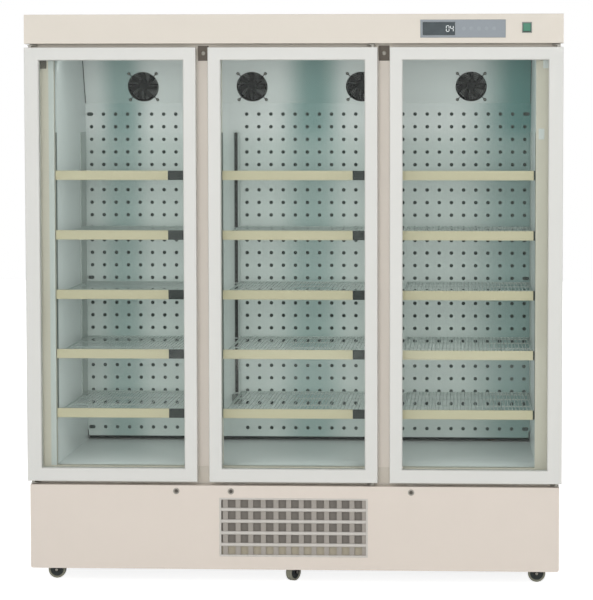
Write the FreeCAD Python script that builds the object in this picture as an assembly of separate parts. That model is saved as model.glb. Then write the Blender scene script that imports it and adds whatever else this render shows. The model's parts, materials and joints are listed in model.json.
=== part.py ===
import FreeCAD, Part
import os
from math import cos, pi, radians, sin, tan

from FreeCAD import Vector

# Pharmacy refrigerator with three glass doors, built from its separate pieces.
# Millimetres, +Z up, the doors face -Y. The origin is on the floor, under the middle.

# Overall size
WIDTH = 1870.0  # over the doors and the header
DEPTH = 890.0  # door faces to rear panel
HEIGHT = 1995.0
CASE_OVERHANG = 8.0  # doors and header stand out past the case at each side

# Heights of the zones
SKIRT = 56.0  # floor to the base panel
BASE_PANEL_HEIGHT = 296.0
BASE_GAP = 13.0  # base panel to the doors
HEADER_HEIGHT = 101.0
HEADER_GAP = 13.0  # doors to the header
HEADER_RISE = 65.0  # header's top above the top of the case
DECK_BELOW_SILL = 22.0  # top of the base panel down to the chassis deck

# Round pieces are many-sided, which keeps the facets few
SIDES = 20
SMALL_SIDES = 12
SMALL_ROUND = 8.0  # radii below this have the fewer sides
WHEEL_SIDES = 36

# Walls of the case
SHEET = 1.2
LINER = 1.2
SIDE_WALL = 82.0
REAR_WALL = 80.0
FLOOR_WALL = 80.0
ROOF_WALL = 74.0
FACE_PLATE = 3.0
FACE_LIP = 2.0
FACE_LIP_DEPTH = 28.0
AIR_DUCT = 124.0  # cavity's back wall to the perforated panels
SIDE_RETURN = 15.0  # side sheets' folded lower edge
REAR_SLOT_ROWS = 5
REAR_SLOT_SPREAD = 450.0
REAR_SLOT_HALF = 130.0
REAR_SLOT_HEIGHT = 9.0
REAR_SLOT_PITCH = 30.0
REAR_SLOT_LIFT = 22.0  # tray to the lowest slots

# Doors
DOOR_THICK = 45.0
MIDDLE_DOOR = 589.0
DOOR_GAP = 42.0
OUTER_STILE = 48.5  # hinge stile of the two outer doors
STILE = 42.0
TOP_RAIL = 42.0
BOTTOM_RAIL = 44.5
DOOR_EDGE = 2.0
FRONT_LIP = 4.0
GLASS_GRIP = 12.0
PANE = 4.0
GLASS_UNIT = 24.0
SPACER_WIDTH = 11.0
GLASS_FIT = 0.4
GRIP_DEPTH = 10.0  # finger rebate behind the free edge
GRIP_WIDTH = 18.0

# Door seals and hinges
GASKET_INSET = 20.0
GASKET_WIDTH = 12.0
GASKET_DEPTH = 12.0
GASKET_NECK = 6.0
SEAL_GAP = 0.3
PIVOT_INSET = 18.0
PIVOT_DEPTH = 22.0  # door face to pivot
PIN_RADIUS = 4.0
PIN_FIT = 0.05
PIN_IN_DOOR = 14.0
HINGE_PLATE = 3.0
HINGE_INNER = 20.0  # pivot to the bracket's edge towards the door's middle
HINGE_OUTER = 8.0  # pivot to the bracket's other edge
HINGE_NOSE = 12.0  # pivot to the bracket's front
HINGE_LEAF = 27.0
HINGE_CORNER = 5.0
HINGE_FLAT = 8.0  # pivot to the end of the nose's flat
COLLAR_RADIUS = 7.0

# Mullions and the dark caps on the frame
MULLION_COVER = 38.0  # mullion beyond each door's edge
MULLION_DEPTH = 60.0
MULLION_WALL = 2.0
CAP_THICK = 4.0
CAP_WIDTH = 37.0
CAP_HEIGHT = 52.0
CAP_TOP_ABOVE_DOOR = 7.0
JAMB_CAP_WIDTH = 28.0
JAMB_CAP_HEIGHT = 32.0
JAMB_CAP_GAP = 8.0  # clear of the gasket's inner edge as the door swings

# Header, control panel and switch
FACE_RECESS = 6.0  # header and base panel behind the door faces
HEADER_DEPTH = 154.0
HEADER_FLANGE = 44.0
HEADER_SEAT = 22.0
PANEL_FROM_SIDE = 346.0
PANEL_WIDTH = 294.0
PANEL_HEIGHT = 62.0
PANEL_THICK = 3.0
PANEL_LIFT = 19.0  # header's lower edge to the control panel
DISPLAY_WIDTH = 112.0
DISPLAY_HEIGHT = 46.0
DISPLAY_INSET = 8.0
DISPLAY_DEPTH = 42.0
SWITCH_FROM_SIDE = 126.0
SWITCH_WIDTH = 34.0
SWITCH_HEIGHT = 37.0
SWITCH_RIM = 3.5
SWITCH_THICK = 2.0
SWITCH_LIFT = 35.0
SWITCH_BODY = 24.0
ROCKER_TILT = 6.0
ROCKER_FIT = 0.8
ROCKER_PIVOT = 4.0  # header's face to the rocker's pivot
ROCKER_PROUD = 2.4  # how far its ends stand out
ROCKER_HOLLOW = 1.6  # depth of the dip between them
ROCKER_FOOT = 7.0

# Base panel, grille and locks
BASE_FLANGE = 44.0
BASE_CORNER = 8.0
GRILLE_WIDTH = 520.0
GRILLE_HEIGHT = 207.0
GRILLE_LIFT = 46.0
GRILLE_BORDER = 4.0
GRILLE_FLANGE = 2.0
GRILLE_BODY = 12.0
GRILLE_ROWS = 5
GRILLE_SLAT = 12.0
GRILLE_PITCH = 44.4
GRILLE_GAP = 27.0
GRILLE_PHASE = -217.2
GRILLE_RIB_SET_BACK = 6.0
LOCK_FROM_EDGE = 75.0
LOCK_DROP = 20.0
LOCK_RADIUS = 6.0
LOCK_BARREL = 9.0
LOCK_HEAD = 11.0
LOCK_HEAD_THICK = 2.0
LOCK_LENGTH = 22.0
CAM_THICK = 2.5
CAM_HALF = 6.0
CAM_REACH = 46.0
CAM_ROOM = 3.0
KEYWAY_HALF = 0.8
KEYWAY_REACH = 4.0
KEYWAY_DEPTH = 6.0

# Chassis and casters
CHASSIS_LIFT = 76.0
RAIL = 44.0
RAIL_HEIGHT = 40.0
RAIL_WALL = 2.5
CASTER_FRONT = 110.0  # front face to the front swivel axes
CASTER_REAR = 60.0
CASTER_IN = 97.0  # outer edge to the outer swivel axes
POST = 36.0
CROSS_X = 290.0
DECK = 2.5
DECK_FLANGE = 26.0
TRAY = 2.0
WHEEL_RADIUS = 31.0
WHEEL_WIDTH = 24.0
TRAIL = 15.0
FORK_PLATE = 3.0
FORK_ROOM = 1.5
FORK_CROWN = 4.0
FORK_FRONT = 17.0  # swivel axis to the crown's front edge
FORK_TAIL = 10.0  # axle to the crown's rear edge
FORK_EAR = 8.0
FORK_OVER_WHEEL = 3.0
AXLE_RADIUS = 4.0
STEM_RADIUS = 6.0
STEM_IN_RAIL = 30.0
SOCKET = 26.0
SWIVEL_GAP = 0.3

# Fans
FAN_TILT = 20.0
FAN_PITCH = 413.0
FAN_HOLE = 58.0  # radius of the hole in the fan panel
FAN_FRAME = 120.0
FAN_DEPTH = 25.0
FAN_UP = 66.5  # along the slanted panel to the fan's centre
FAN_HUB = 18.0
FAN_BLADES = 5
FAN_TIP_GAP = 4.5  # fan hole's edge to the middle of each blade's tip
FAN_ROTOR_DEPTH = 14.0
BLADE = 1.6
BLADE_PITCH = 26.0
SHAFT_RADIUS = 2.5
SHAFT_REACH = 8.0
MOTOR_RADIUS = 20.0
MOTOR_DEPTH = 9.0
GUARD_THICK = 3.0
GUARD_BAR = 3.0
GUARD_HUB = 12.0
GUARD_RING = 42.0
GUARD_REACH = 73.3  # fan's centre to the ends of the guard's arms
SPOKE_HALF = 3.0
FAN_PANEL_FOLD = 25.0

# Cavity fittings
PERF_DROP = 161.0  # ceiling to the perforated panels
PERF_LIFT = 39.0  # floor to the perforated panels
PERF_SEAM = 294.0
PERF_FOLD = 16.0
FIT_GAP = 0.3
SHELF_COUNT = 5
SHELF_FIRST = 187.0  # cavity floor to the middle of the first label strip
SHELF_PITCH = 209.8
SHELF_REAR_GAP = 7.0
SHELF_BAR = 4.0
SHELF_BAR_PITCH = 105.0
SHELF_RIM = 8.0
SHELF_SIDE_GAP = 4.0
STRIP_HEIGHT = 33.0
STRIP_THICK = 3.0
STRIP_LIP = 14.0  # strip's top above the shelf
STRIP_SETBACK = 12.0  # frame's face to the strips
STRIP_SHORT_LEFT = 66.0
STRIP_SHORT_MIDDLE = 48.0
STRIP_SHORT_RIGHT = 5.0
UPRIGHT_WIDTH = 21.0
UPRIGHT_DEPTH = 12.0
UPRIGHT_WALL = 1.5
UPRIGHT_TOP = 150.0  # upright's top above the highest strip
UPRIGHT_STRIP = 3.0
SIDE_UPRIGHT_REAR = 110.0
MIDDLE_UPRIGHT = 270.0
OUTER_UPRIGHT = 345.0
CLIP = 2.5

# Machine compartment
COMPRESSOR_FROM_SIDE = 465.0
COMPRESSOR_FROM_BACK = 295.0
COMPRESSOR_RADIUS = 90.0
COMPRESSOR_HEIGHT = 165.0
COMPRESSOR_DOME = 30.0
COMPRESSOR_LIFT = 12.0
FOOT_HALF = 95.0
FOOT_OFFSET = 50.0
FOOT_WIDTH = 24.0
TERMINAL_BOX = 34.0  # how far it stands off the shell
TERMINAL_HALF = 32.0
TERMINAL_LOW = 30.0
TERMINAL_HIGH = 100.0
CONDENSER_WIDTH = 480.0
CONDENSER_HEIGHT = 180.0
CONDENSER_DEPTH = 50.0
CONDENSER_FROM_RAIL = 6.0
CONDENSER_FIN_DEPTH = 16.0
FIN_PITCH = 40.0
FIN_SLOT = 30.0
FIN_MARGIN = 8.0
CONDENSER_FAN = 72.0
CONDENSER_TIP_GAP = 5.0
CONDENSER_ROTOR_DEPTH = 18.0
CONDENSER_HUB = 22.0
CONDENSER_BLADES = 5
CONDENSER_MOTOR = 26.0
CONDENSER_MOTOR_DEPTH = 42.0
SHROUD_DEPTH = 34.0
MOTOR_STAND_OFF = 22.0  # shroud to the condenser fan's motor
CONDENSER_MOUTH = 4.0  # room round the condenser fan's swept circle
CONDENSER_SHAFT = 12.0
ARM = 10.0
ARM_THICK = 4.0
ARM_BACK = 12.0
DRAIN_LENGTH = 420.0
DRAIN_WIDTH = 300.0
DRAIN_HEIGHT = 50.0
DRAIN_WALL = 2.0
CHASE_FROM_SIDE = 235.0
CHASE_FROM_BACK = 145.0
CHASE_RADIUS = 26.0
SUCTION_RADIUS = 8.0
LIQUID_RADIUS = 5.0
PIPE_BEND = 30.0
LINE_SPREAD = 10.0
SUCTION_LIFT = 120.0
LIQUID_LIFT = 60.0
EVAPORATOR_FROM_WALL = 285.0
EVAPORATOR_HEIGHT = 180.0
EVAPORATOR_DEPTH = 70.0
EVAPORATOR_TOP = 20.0  # below the perforated panels' top
EVAPORATOR_FIN_DEPTH = 20.0

# Places worked out from the sizes
FRONT = -DEPTH / 2
BACK = DEPTH / 2
HALF = WIDTH / 2
CASE_HALF = HALF - CASE_OVERHANG
CAVITY_HALF = CASE_HALF - SIDE_WALL
BASE_TOP = SKIRT + BASE_PANEL_HEIGHT
DECK_TOP = BASE_TOP - DECK_BELOW_SILL
FLOOR = DECK_TOP + FLOOR_WALL
CASE_TOP = HEIGHT - HEADER_RISE
CEILING = CASE_TOP - ROOF_WALL
HEADER_BOTTOM = HEIGHT - HEADER_HEIGHT
DOOR_BOTTOM = BASE_TOP + BASE_GAP
DOOR_TOP = HEADER_BOTTOM - HEADER_GAP
DOOR_BACK = FRONT + DOOR_THICK
FACE = DOOR_BACK + GASKET_DEPTH + SEAL_GAP
FACE_BACK = FACE + FACE_PLATE
CAVITY_BACK = BACK - REAR_WALL
PERF_Y = CAVITY_BACK - AIR_DUCT
PERF_TOP = CEILING - PERF_DROP
PERF_BOTTOM = FLOOR + PERF_LIFT
PANEL_FACE = FRONT + FACE_RECESS
HEADER_BACK = PANEL_FACE + HEADER_DEPTH
MULLION_X = (MIDDLE_DOOR + DOOR_GAP) / 2
MULLION_HALF = DOOR_GAP / 2 + MULLION_COVER
OUTER_DOOR = HALF - MIDDLE_DOOR / 2 - DOOR_GAP
STRIP_FRONT = FACE + STRIP_SETBACK
SHELF_FRONT = STRIP_FRONT + STRIP_THICK
SHELF_BACK = PERF_Y - SHELF_REAR_GAP
RAIL_TOP = CHASSIS_LIFT + RAIL_HEIGHT
TRAY_TOP = RAIL_TOP + TRAY
PANEL_X = HALF - PANEL_FROM_SIDE
SWITCH_X = HALF - SWITCH_FROM_SIDE
CHASE_X = HALF - CHASE_FROM_SIDE
CHASE_Y = BACK - CHASE_FROM_BACK
COMPRESSOR_X = HALF - COMPRESSOR_FROM_SIDE
COMPRESSOR_Y = BACK - COMPRESSOR_FROM_BACK
EVAPORATOR_HALF = CAVITY_HALF - EVAPORATOR_FROM_WALL

os.makedirs("parts", exist_ok=True)


def block(x0, x1, y0, y1, z0, z1):
    """A box between two limits along each axis."""
    return Part.makeBox(x1 - x0, y1 - y0, z1 - z0, Vector(x0, y0, z0))


def disc(radius, centre, axis, around=False, sides=0):
    """A round face. It is many-sided, with its corners on the circle, or its flats around it."""
    sides = sides or (SMALL_SIDES if radius < SMALL_ROUND else SIDES)
    reach = radius / cos(pi / sides) if around else radius
    axis = Vector(axis).normalize()
    across = Vector(1, 0, 0) if abs(axis.z) > 0.5 else axis.cross(Vector(0, 0, 1)).normalize()
    upward = axis.cross(across).normalize()
    points = []
    for n in range(sides + 1):
        angle = 2 * pi * (n % sides) / sides
        points.append(centre + (across * cos(angle) + upward * sin(angle)) * reach)
    return Part.Face(Part.makePolygon(points))


def rod(radius, start, end, sides=0):
    """A round bar from one point to another, which never stands out past its radius."""
    start, end = Vector(*start), Vector(*end)
    return disc(radius, start, end - start, False, sides).extrude(end - start)


def hole(radius, start, end):
    """The tool for a round hole, which a rod of the same radius can turn in."""
    start, end = Vector(*start), Vector(*end)
    return disc(radius, start, end - start, True).extrude(end - start)


def sweep_x(points, x0, x1):
    """A (y, z) outline carried from x0 to x1."""
    wire = Part.makePolygon([Vector(x0, y, z) for y, z in points + points[:1]])
    return Part.Face(wire).extrude(Vector(x1 - x0, 0, 0))


def sweep_y(points, y0, y1):
    """An (x, z) outline carried from y0 to y1."""
    wire = Part.makePolygon([Vector(x, y0, z) for x, z in points + points[:1]])
    return Part.Face(wire).extrude(Vector(0, y1 - y0, 0))


def join(shapes):
    """Pieces of one solid welded together."""
    return shapes[0].multiFuse(shapes[1:]).removeSplitter()


def carve(shape, tools):
    """A solid with every tool's volume taken out."""
    return shape.cut(Part.makeCompound(tools))


def mirror(shape):
    """The same solid on the other side of the middle plane."""
    return shape.mirror(Vector(0, 0, 0), Vector(1, 0, 0))


def keep(name, *solids):
    """Writes one node, which holds one solid or a group of like ones."""
    shape = solids[0] if len(solids) == 1 else Part.makeCompound(list(solids))
    shape.exportStep("parts/" + name + ".step")


def ring(x0, x1, y0, y1, z0, z1, width):
    """A rectangular frame that lies in an XZ plane."""
    inner = block(x0 + width, x1 - width, y0 - 1, y1 + 1, z0 + width, z1 - width)
    return block(x0, x1, y0, y1, z0, z1).cut(inner)


# Case


def make_case():
    """Outer sheets, foam, liner and the frame round the opening. The top is in two sheets."""
    sheet_in = CASE_HALF - SHEET
    side = join(
        [
            block(sheet_in, CASE_HALF, FACE_BACK, BACK - SHEET, SKIRT, CASE_TOP - SHEET),
            block(sheet_in - SIDE_RETURN, sheet_in, FACE_BACK, BACK - SHEET, SKIRT, SKIRT + SHEET),
        ]
    )
    keep("side_panels", side, mirror(side))

    rear = block(-CASE_HALF, CASE_HALF, BACK - SHEET, BACK, SKIRT, CASE_TOP - SHEET)
    slots = []
    half, high = REAR_SLOT_HALF, REAR_SLOT_HEIGHT
    for middle in (-REAR_SLOT_SPREAD, 0.0, REAR_SLOT_SPREAD):
        for row in range(REAR_SLOT_ROWS):
            z = TRAY_TOP + REAR_SLOT_LIFT + row * REAR_SLOT_PITCH
            slots.append(block(middle - half, middle + half, BACK - 2 * SHEET, BACK + 1, z, z + high))
    keep("rear_panel", carve(rear, slots))

    under_header = (FACE_BACK, HEADER_BACK - SEAL_GAP)
    tops = []
    for y0, y1 in (under_header, (HEADER_BACK, BACK)):
        tops.append(block(-CASE_HALF, CASE_HALF, y0, y1, CASE_TOP - SHEET, CASE_TOP))
    keep("top_panel", *tops)

    foam = block(-sheet_in, sheet_in, FACE_BACK, BACK - SHEET, DECK_TOP, CASE_TOP - SHEET)
    hollow = block(
        -CAVITY_HALF - LINER,
        CAVITY_HALF + LINER,
        FACE_BACK - 1,
        CAVITY_BACK + LINER,
        FLOOR - LINER,
        CEILING + LINER,
    )
    chase = hole(CHASE_RADIUS, (CHASE_X, CHASE_Y, DECK_TOP - 1), (CHASE_X, CHASE_Y, FLOOR + 1))
    keep("insulation", carve(foam, [hollow, chase]))

    wide = CAVITY_HALF + LINER
    wall = block(CAVITY_HALF, wide, FACE_BACK, CAVITY_BACK, FLOOR, CEILING)
    ceiling = block(-wide, wide, FACE_BACK, CAVITY_BACK, CEILING, CEILING + LINER)
    floor = block(-wide, wide, FACE_BACK, CAVITY_BACK, FLOOR - LINER, FLOOR).cut(chase)
    back = block(-wide, wide, CAVITY_BACK, CAVITY_BACK + LINER, FLOOR - LINER, CEILING + LINER)
    keep("liner", wall, mirror(wall), ceiling, floor, back)

    plate = block(-CASE_HALF, CASE_HALF, FACE, FACE_BACK, DECK_TOP, CASE_TOP)
    lip = block(-CAVITY_HALF, CAVITY_HALF, FACE, FACE + FACE_LIP_DEPTH, FLOOR, CEILING)
    doorway = block(
        -CAVITY_HALF + FACE_LIP,
        CAVITY_HALF - FACE_LIP,
        FACE - 1,
        FACE + FACE_LIP_DEPTH + 1,
        FLOOR + FACE_LIP,
        CEILING - FACE_LIP,
    )
    keep("front_frame", join([plate, lip]).cut(doorway))

    low, high = FLOOR + FACE_LIP, CEILING - FACE_LIP
    edges = (MULLION_X - MULLION_HALF, MULLION_X + MULLION_HALF)
    post = block(edges[0], edges[1], FACE, FACE + MULLION_DEPTH, low, high)
    bore = block(
        edges[0] + MULLION_WALL,
        edges[1] - MULLION_WALL,
        FACE + MULLION_WALL,
        FACE + MULLION_DEPTH - MULLION_WALL,
        low - 1,
        high + 1,
    )
    post = post.cut(bore)
    keep("mullion_posts", post, mirror(post))

    cap_top = DOOR_TOP + CAP_TOP_ABOVE_DOOR
    cap = block(
        MULLION_X - CAP_WIDTH / 2,
        MULLION_X + CAP_WIDTH / 2,
        FACE - CAP_THICK,
        FACE,
        cap_top - CAP_HEIGHT,
        cap_top,
    )
    gasket_in = HALF - GASKET_INSET - GASKET_WIDTH - JAMB_CAP_GAP
    jamb_top = DOOR_TOP - GASKET_INSET - GASKET_WIDTH - JAMB_CAP_GAP
    jamb_cap = block(
        gasket_in - JAMB_CAP_WIDTH,
        gasket_in,
        FACE - CAP_THICK,
        FACE,
        jamb_top - JAMB_CAP_HEIGHT,
        jamb_top,
    )
    keep("frame_caps", cap, mirror(cap), jamb_cap, mirror(jamb_cap))


# Header


def make_header():
    """The header's welded sheets, the control panel, the display and the power switch."""
    inside, under_top, before_back = HALF - SHEET, HEIGHT - SHEET, HEADER_BACK - SHEET
    seat = HEADER_SEAT - SHEET
    top = block(-HALF, HALF, PANEL_FACE, HEADER_BACK, under_top, HEIGHT)
    front = block(-HALF, HALF, PANEL_FACE, PANEL_FACE + SHEET, HEADER_BOTTOM, under_top)
    rear = block(-HALF, HALF, before_back, HEADER_BACK, CASE_TOP, under_top)
    side_outline = [
        (PANEL_FACE + SHEET, HEADER_BOTTOM),
        (FACE, HEADER_BOTTOM),
        (FACE, CASE_TOP),
        (before_back, CASE_TOP),
        (before_back, under_top),
        (PANEL_FACE + SHEET, under_top),
    ]
    side = sweep_x(side_outline, inside, HALF)
    front_flange = block(
        -inside,
        inside,
        PANEL_FACE + SHEET,
        PANEL_FACE + HEADER_FLANGE,
        HEADER_BOTTOM,
        HEADER_BOTTOM + SHEET,
    )
    rear_seat = block(-inside, inside, before_back - seat, before_back, CASE_TOP, CASE_TOP + SHEET)
    side_seat = block(inside - seat, inside, FACE, before_back - seat, CASE_TOP, CASE_TOP + SHEET)
    panel_low = HEADER_BOTTOM + PANEL_LIFT
    panel_left = PANEL_X - PANEL_WIDTH / 2
    display_left = panel_left + DISPLAY_INSET
    display_low = panel_low + (PANEL_HEIGHT - DISPLAY_HEIGHT) / 2
    display_hole = block(
        display_left,
        display_left + DISPLAY_WIDTH,
        PANEL_FACE - PANEL_THICK - 1,
        PANEL_FACE + SHEET + 1,
        display_low,
        display_low + DISPLAY_HEIGHT,
    )
    switch_low = HEADER_BOTTOM + SWITCH_LIFT
    switch_hole = block(
        SWITCH_X - SWITCH_WIDTH / 2 + SWITCH_RIM / 2,
        SWITCH_X + SWITCH_WIDTH / 2 - SWITCH_RIM / 2,
        PANEL_FACE - 1,
        PANEL_FACE + SHEET + 1,
        switch_low + SWITCH_RIM / 2,
        switch_low + SWITCH_HEIGHT - SWITCH_RIM / 2,
    )
    front = carve(front, [display_hole, switch_hole])
    flat = [top, front, rear, front_flange, rear_seat]
    keep("header_cover", *flat, side, mirror(side), side_seat, mirror(side_seat))

    bezel = block(
        panel_left,
        panel_left + PANEL_WIDTH,
        PANEL_FACE - PANEL_THICK,
        PANEL_FACE,
        panel_low,
        panel_low + PANEL_HEIGHT,
    )
    front_edges = [e for e in bezel.Edges if all(v.Y < PANEL_FACE - 1 for v in e.Vertexes)]
    bezel = bezel.makeChamfer(1.5, front_edges)
    keep("control_panel", bezel.cut(display_hole))

    module = block(
        display_left + GLASS_FIT,
        display_left + DISPLAY_WIDTH - GLASS_FIT,
        PANEL_FACE - PANEL_THICK / 2,
        PANEL_FACE + DISPLAY_DEPTH,
        display_low + GLASS_FIT,
        display_low + DISPLAY_HEIGHT - GLASS_FIT,
    )
    keep("display_module", module)

    make_switch(switch_low)


def make_switch(low):
    """A rocker in its frame. It is modelled with its upper half pressed in."""
    left, right = SWITCH_X - SWITCH_WIDTH / 2, SWITCH_X + SWITCH_WIDTH / 2
    high = low + SWITCH_HEIGHT
    front = PANEL_FACE - SWITCH_THICK
    flange = block(left, right, front, PANEL_FACE, low, high)
    rim = SWITCH_RIM / 2 + GLASS_FIT
    deep = PANEL_FACE + SWITCH_BODY
    body = block(left + rim, right - rim, PANEL_FACE, deep, low + rim, high - rim)
    well = block(
        left + SWITCH_RIM,
        right - SWITCH_RIM,
        front - 1,
        deep - 2,
        low + SWITCH_RIM,
        high - SWITCH_RIM,
    )
    keep("switch_frame", join([flange, body]).cut(well))

    middle = (low + high) / 2
    reach = (high - low) / 2 - SWITCH_RIM - ROCKER_FIT
    pivot = PANEL_FACE + ROCKER_PIVOT
    proud = front - ROCKER_PROUD
    outline = [
        (proud, middle + reach - 0.6),
        (proud + ROCKER_HOLLOW, middle),
        (proud, middle - reach + 0.6),
        (pivot, middle - reach + 1.2),
        (pivot + ROCKER_FOOT, middle - 4),
        (pivot + ROCKER_FOOT, middle + 4),
        (pivot, middle + reach - 1.2),
    ]
    rocker = sweep_x(outline, left + SWITCH_RIM + ROCKER_FIT, right - SWITCH_RIM - ROCKER_FIT)
    rocker.rotate(Vector(SWITCH_X, pivot, middle), Vector(1, 0, 0), -ROCKER_TILT)
    keep("rocker_switch", rocker)


# Doors


def make_door(name, left, right, hinged_right, stiles):
    """One door: its frame, its sealed glass unit and its magnetic gasket."""
    body = block(left, right, FRONT, DOOR_BACK, DOOR_BOTTOM, DOOR_TOP)
    front_edges = [e for e in body.Edges if all(v.Y < FRONT + 1 for v in e.Vertexes)]
    body = body.makeChamfer(DOOR_EDGE, front_edges)
    x0, x1 = left + stiles[0], right - stiles[1]
    z0, z1 = DOOR_BOTTOM + BOTTOM_RAIL, DOOR_TOP - TOP_RAIL
    opening = block(x0, x1, FRONT - 1, DOOR_BACK + 1, z0, z1)
    grip = GLASS_GRIP
    pocket_front = FRONT + FRONT_LIP
    pocket_back = pocket_front + GLASS_UNIT + 2 * GLASS_FIT
    pocket = block(x0 - grip, x1 + grip, pocket_front, pocket_back, z0 - grip, z1 + grip)
    if hinged_right:
        pivot, rebate = right - PIVOT_INSET, (left - 1, left + GRIP_DEPTH)
        lock = left + LOCK_FROM_EDGE
    else:
        pivot, rebate = left + PIVOT_INSET, (right - GRIP_DEPTH, right + 1)
        lock = right - LOCK_FROM_EDGE
    grip_y = DOOR_BACK - GRIP_WIDTH
    finger = block(*rebate, grip_y, DOOR_BACK + 1, DOOR_BOTTOM - 1, DOOR_TOP + 1)
    tools = [opening, pocket, finger]
    for end, way in ((DOOR_BOTTOM, 1), (DOOR_TOP, -1)):
        mouth = (pivot, FRONT + PIVOT_DEPTH, end - way)
        bottom = (pivot, FRONT + PIVOT_DEPTH, end + way * (PIN_IN_DOOR + 2))
        tools.append(hole(PIN_RADIUS + PIN_FIT, mouth, bottom))
    cam_y = PANEL_FACE + SHEET + LOCK_LENGTH
    lock_to_door = DOOR_BOTTOM - BASE_TOP + LOCK_DROP
    cam_side = ((CAM_REACH + CAM_HALF) ** 2 - lock_to_door**2) ** 0.5
    keeper = block(
        lock - CAM_HALF - CAM_ROOM,
        lock + cam_side + CAM_ROOM,
        cam_y - CAM_ROOM,
        cam_y + CAM_THICK + CAM_ROOM,
        DOOR_BOTTOM - 1,
        BASE_TOP - LOCK_DROP + CAM_REACH + CAM_ROOM,
    )
    keep(name + "_frame", carve(body, tools + [keeper]))

    g0, g1 = x0 - grip + GLASS_FIT, x1 + grip - GLASS_FIT
    h0, h1 = z0 - grip + GLASS_FIT, z1 + grip - GLASS_FIT
    glass_front = pocket_front + GLASS_FIT
    glass_back = glass_front + GLASS_UNIT
    keep(
        name + "_glass",
        block(g0, g1, glass_front, glass_front + PANE, h0, h1),
        block(g0, g1, glass_back - PANE, glass_back, h0, h1),
        ring(g0, g1, glass_front + PANE, glass_back - PANE, h0, h1, SPACER_WIDTH),
    )

    s0, s1 = left + GASKET_INSET, right - GASKET_INSET
    t0, t1 = DOOR_BOTTOM + GASKET_INSET, DOOR_TOP - GASKET_INSET
    neck = (GASKET_WIDTH - GASKET_NECK) / 2
    layer = GASKET_DEPTH / 4
    foot = ring(s0, s1, DOOR_BACK, DOOR_BACK + layer, t0, t1, GASKET_WIDTH)
    web = ring(
        s0 + neck,
        s1 - neck,
        DOOR_BACK + layer,
        DOOR_BACK + 2 * layer,
        t0 + neck,
        t1 - neck,
        GASKET_NECK,
    )
    bulb = ring(s0, s1, DOOR_BACK + 2 * layer, DOOR_BACK + GASKET_DEPTH, t0, t1, GASKET_WIDTH)
    keep(name + "_gasket", join([foot, web, bulb]))
    return pivot, lock


def make_hinge(pivot, outward, top):
    """A bent bracket on the front frame with the pin that the door turns on."""
    y = FRONT + PIVOT_DEPTH
    way = 1 if top else -1
    door_end = DOOR_TOP if top else DOOR_BOTTOM
    gap = HEADER_GAP if top else BASE_GAP
    near = door_end + way * gap / 2
    far = near + way * HINGE_PLATE
    low, high = min(near, far), max(near, far)
    x_out = pivot + outward * HINGE_OUTER
    x_in = pivot - outward * HINGE_INNER
    nose = y - HINGE_NOSE
    corner = HINGE_CORNER
    outline = [(x_out, FACE), (x_out, nose + corner), (x_out - outward * corner, nose)]
    outline += [(pivot - outward * HINGE_FLAT, nose), (x_in, y), (x_in, FACE)]
    points = [Vector(a, b, low) for a, b in outline + outline[:1]]
    tongue = Part.Face(Part.makePolygon(points)).extrude(Vector(0, 0, high - low))
    leaf_far = near + way * HINGE_LEAF
    leaf = block(
        min(x_in, x_out),
        max(x_in, x_out),
        FACE - HINGE_PLATE,
        FACE,
        min(near, leaf_far),
        max(near, leaf_far),
    )
    collar = rod(COLLAR_RADIUS, (pivot, y, near), (pivot, y, door_end + way * SEAL_GAP))
    pin = rod(PIN_RADIUS, (pivot, y, near), (pivot, y, door_end - way * PIN_IN_DOOR))
    return join([tongue, leaf, collar, pin])


def make_doors():
    """Three doors, their hinge brackets and the base panel with its locks."""
    middle = MIDDLE_DOOR / 2
    doors = [
        ("door_left", -HALF, -HALF + OUTER_DOOR, False, (OUTER_STILE, STILE)),
        ("door_middle", -middle, middle, True, (STILE, STILE)),
        ("door_right", HALF - OUTER_DOOR, HALF, True, (STILE, OUTER_STILE)),
    ]
    pivots, locks = zip(*[make_door(*door) for door in doors])
    brackets = []
    for door, pivot in zip(doors, pivots):
        outward = 1 if door[3] else -1
        brackets += [make_hinge(pivot, outward, False), make_hinge(pivot, outward, True)]
    keep("hinge_brackets", *brackets)
    make_base_panel(locks)
    names = ("left", "middle", "right")
    make_locks(dict(zip(names, locks)))


# Base panel, grille and locks


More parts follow.
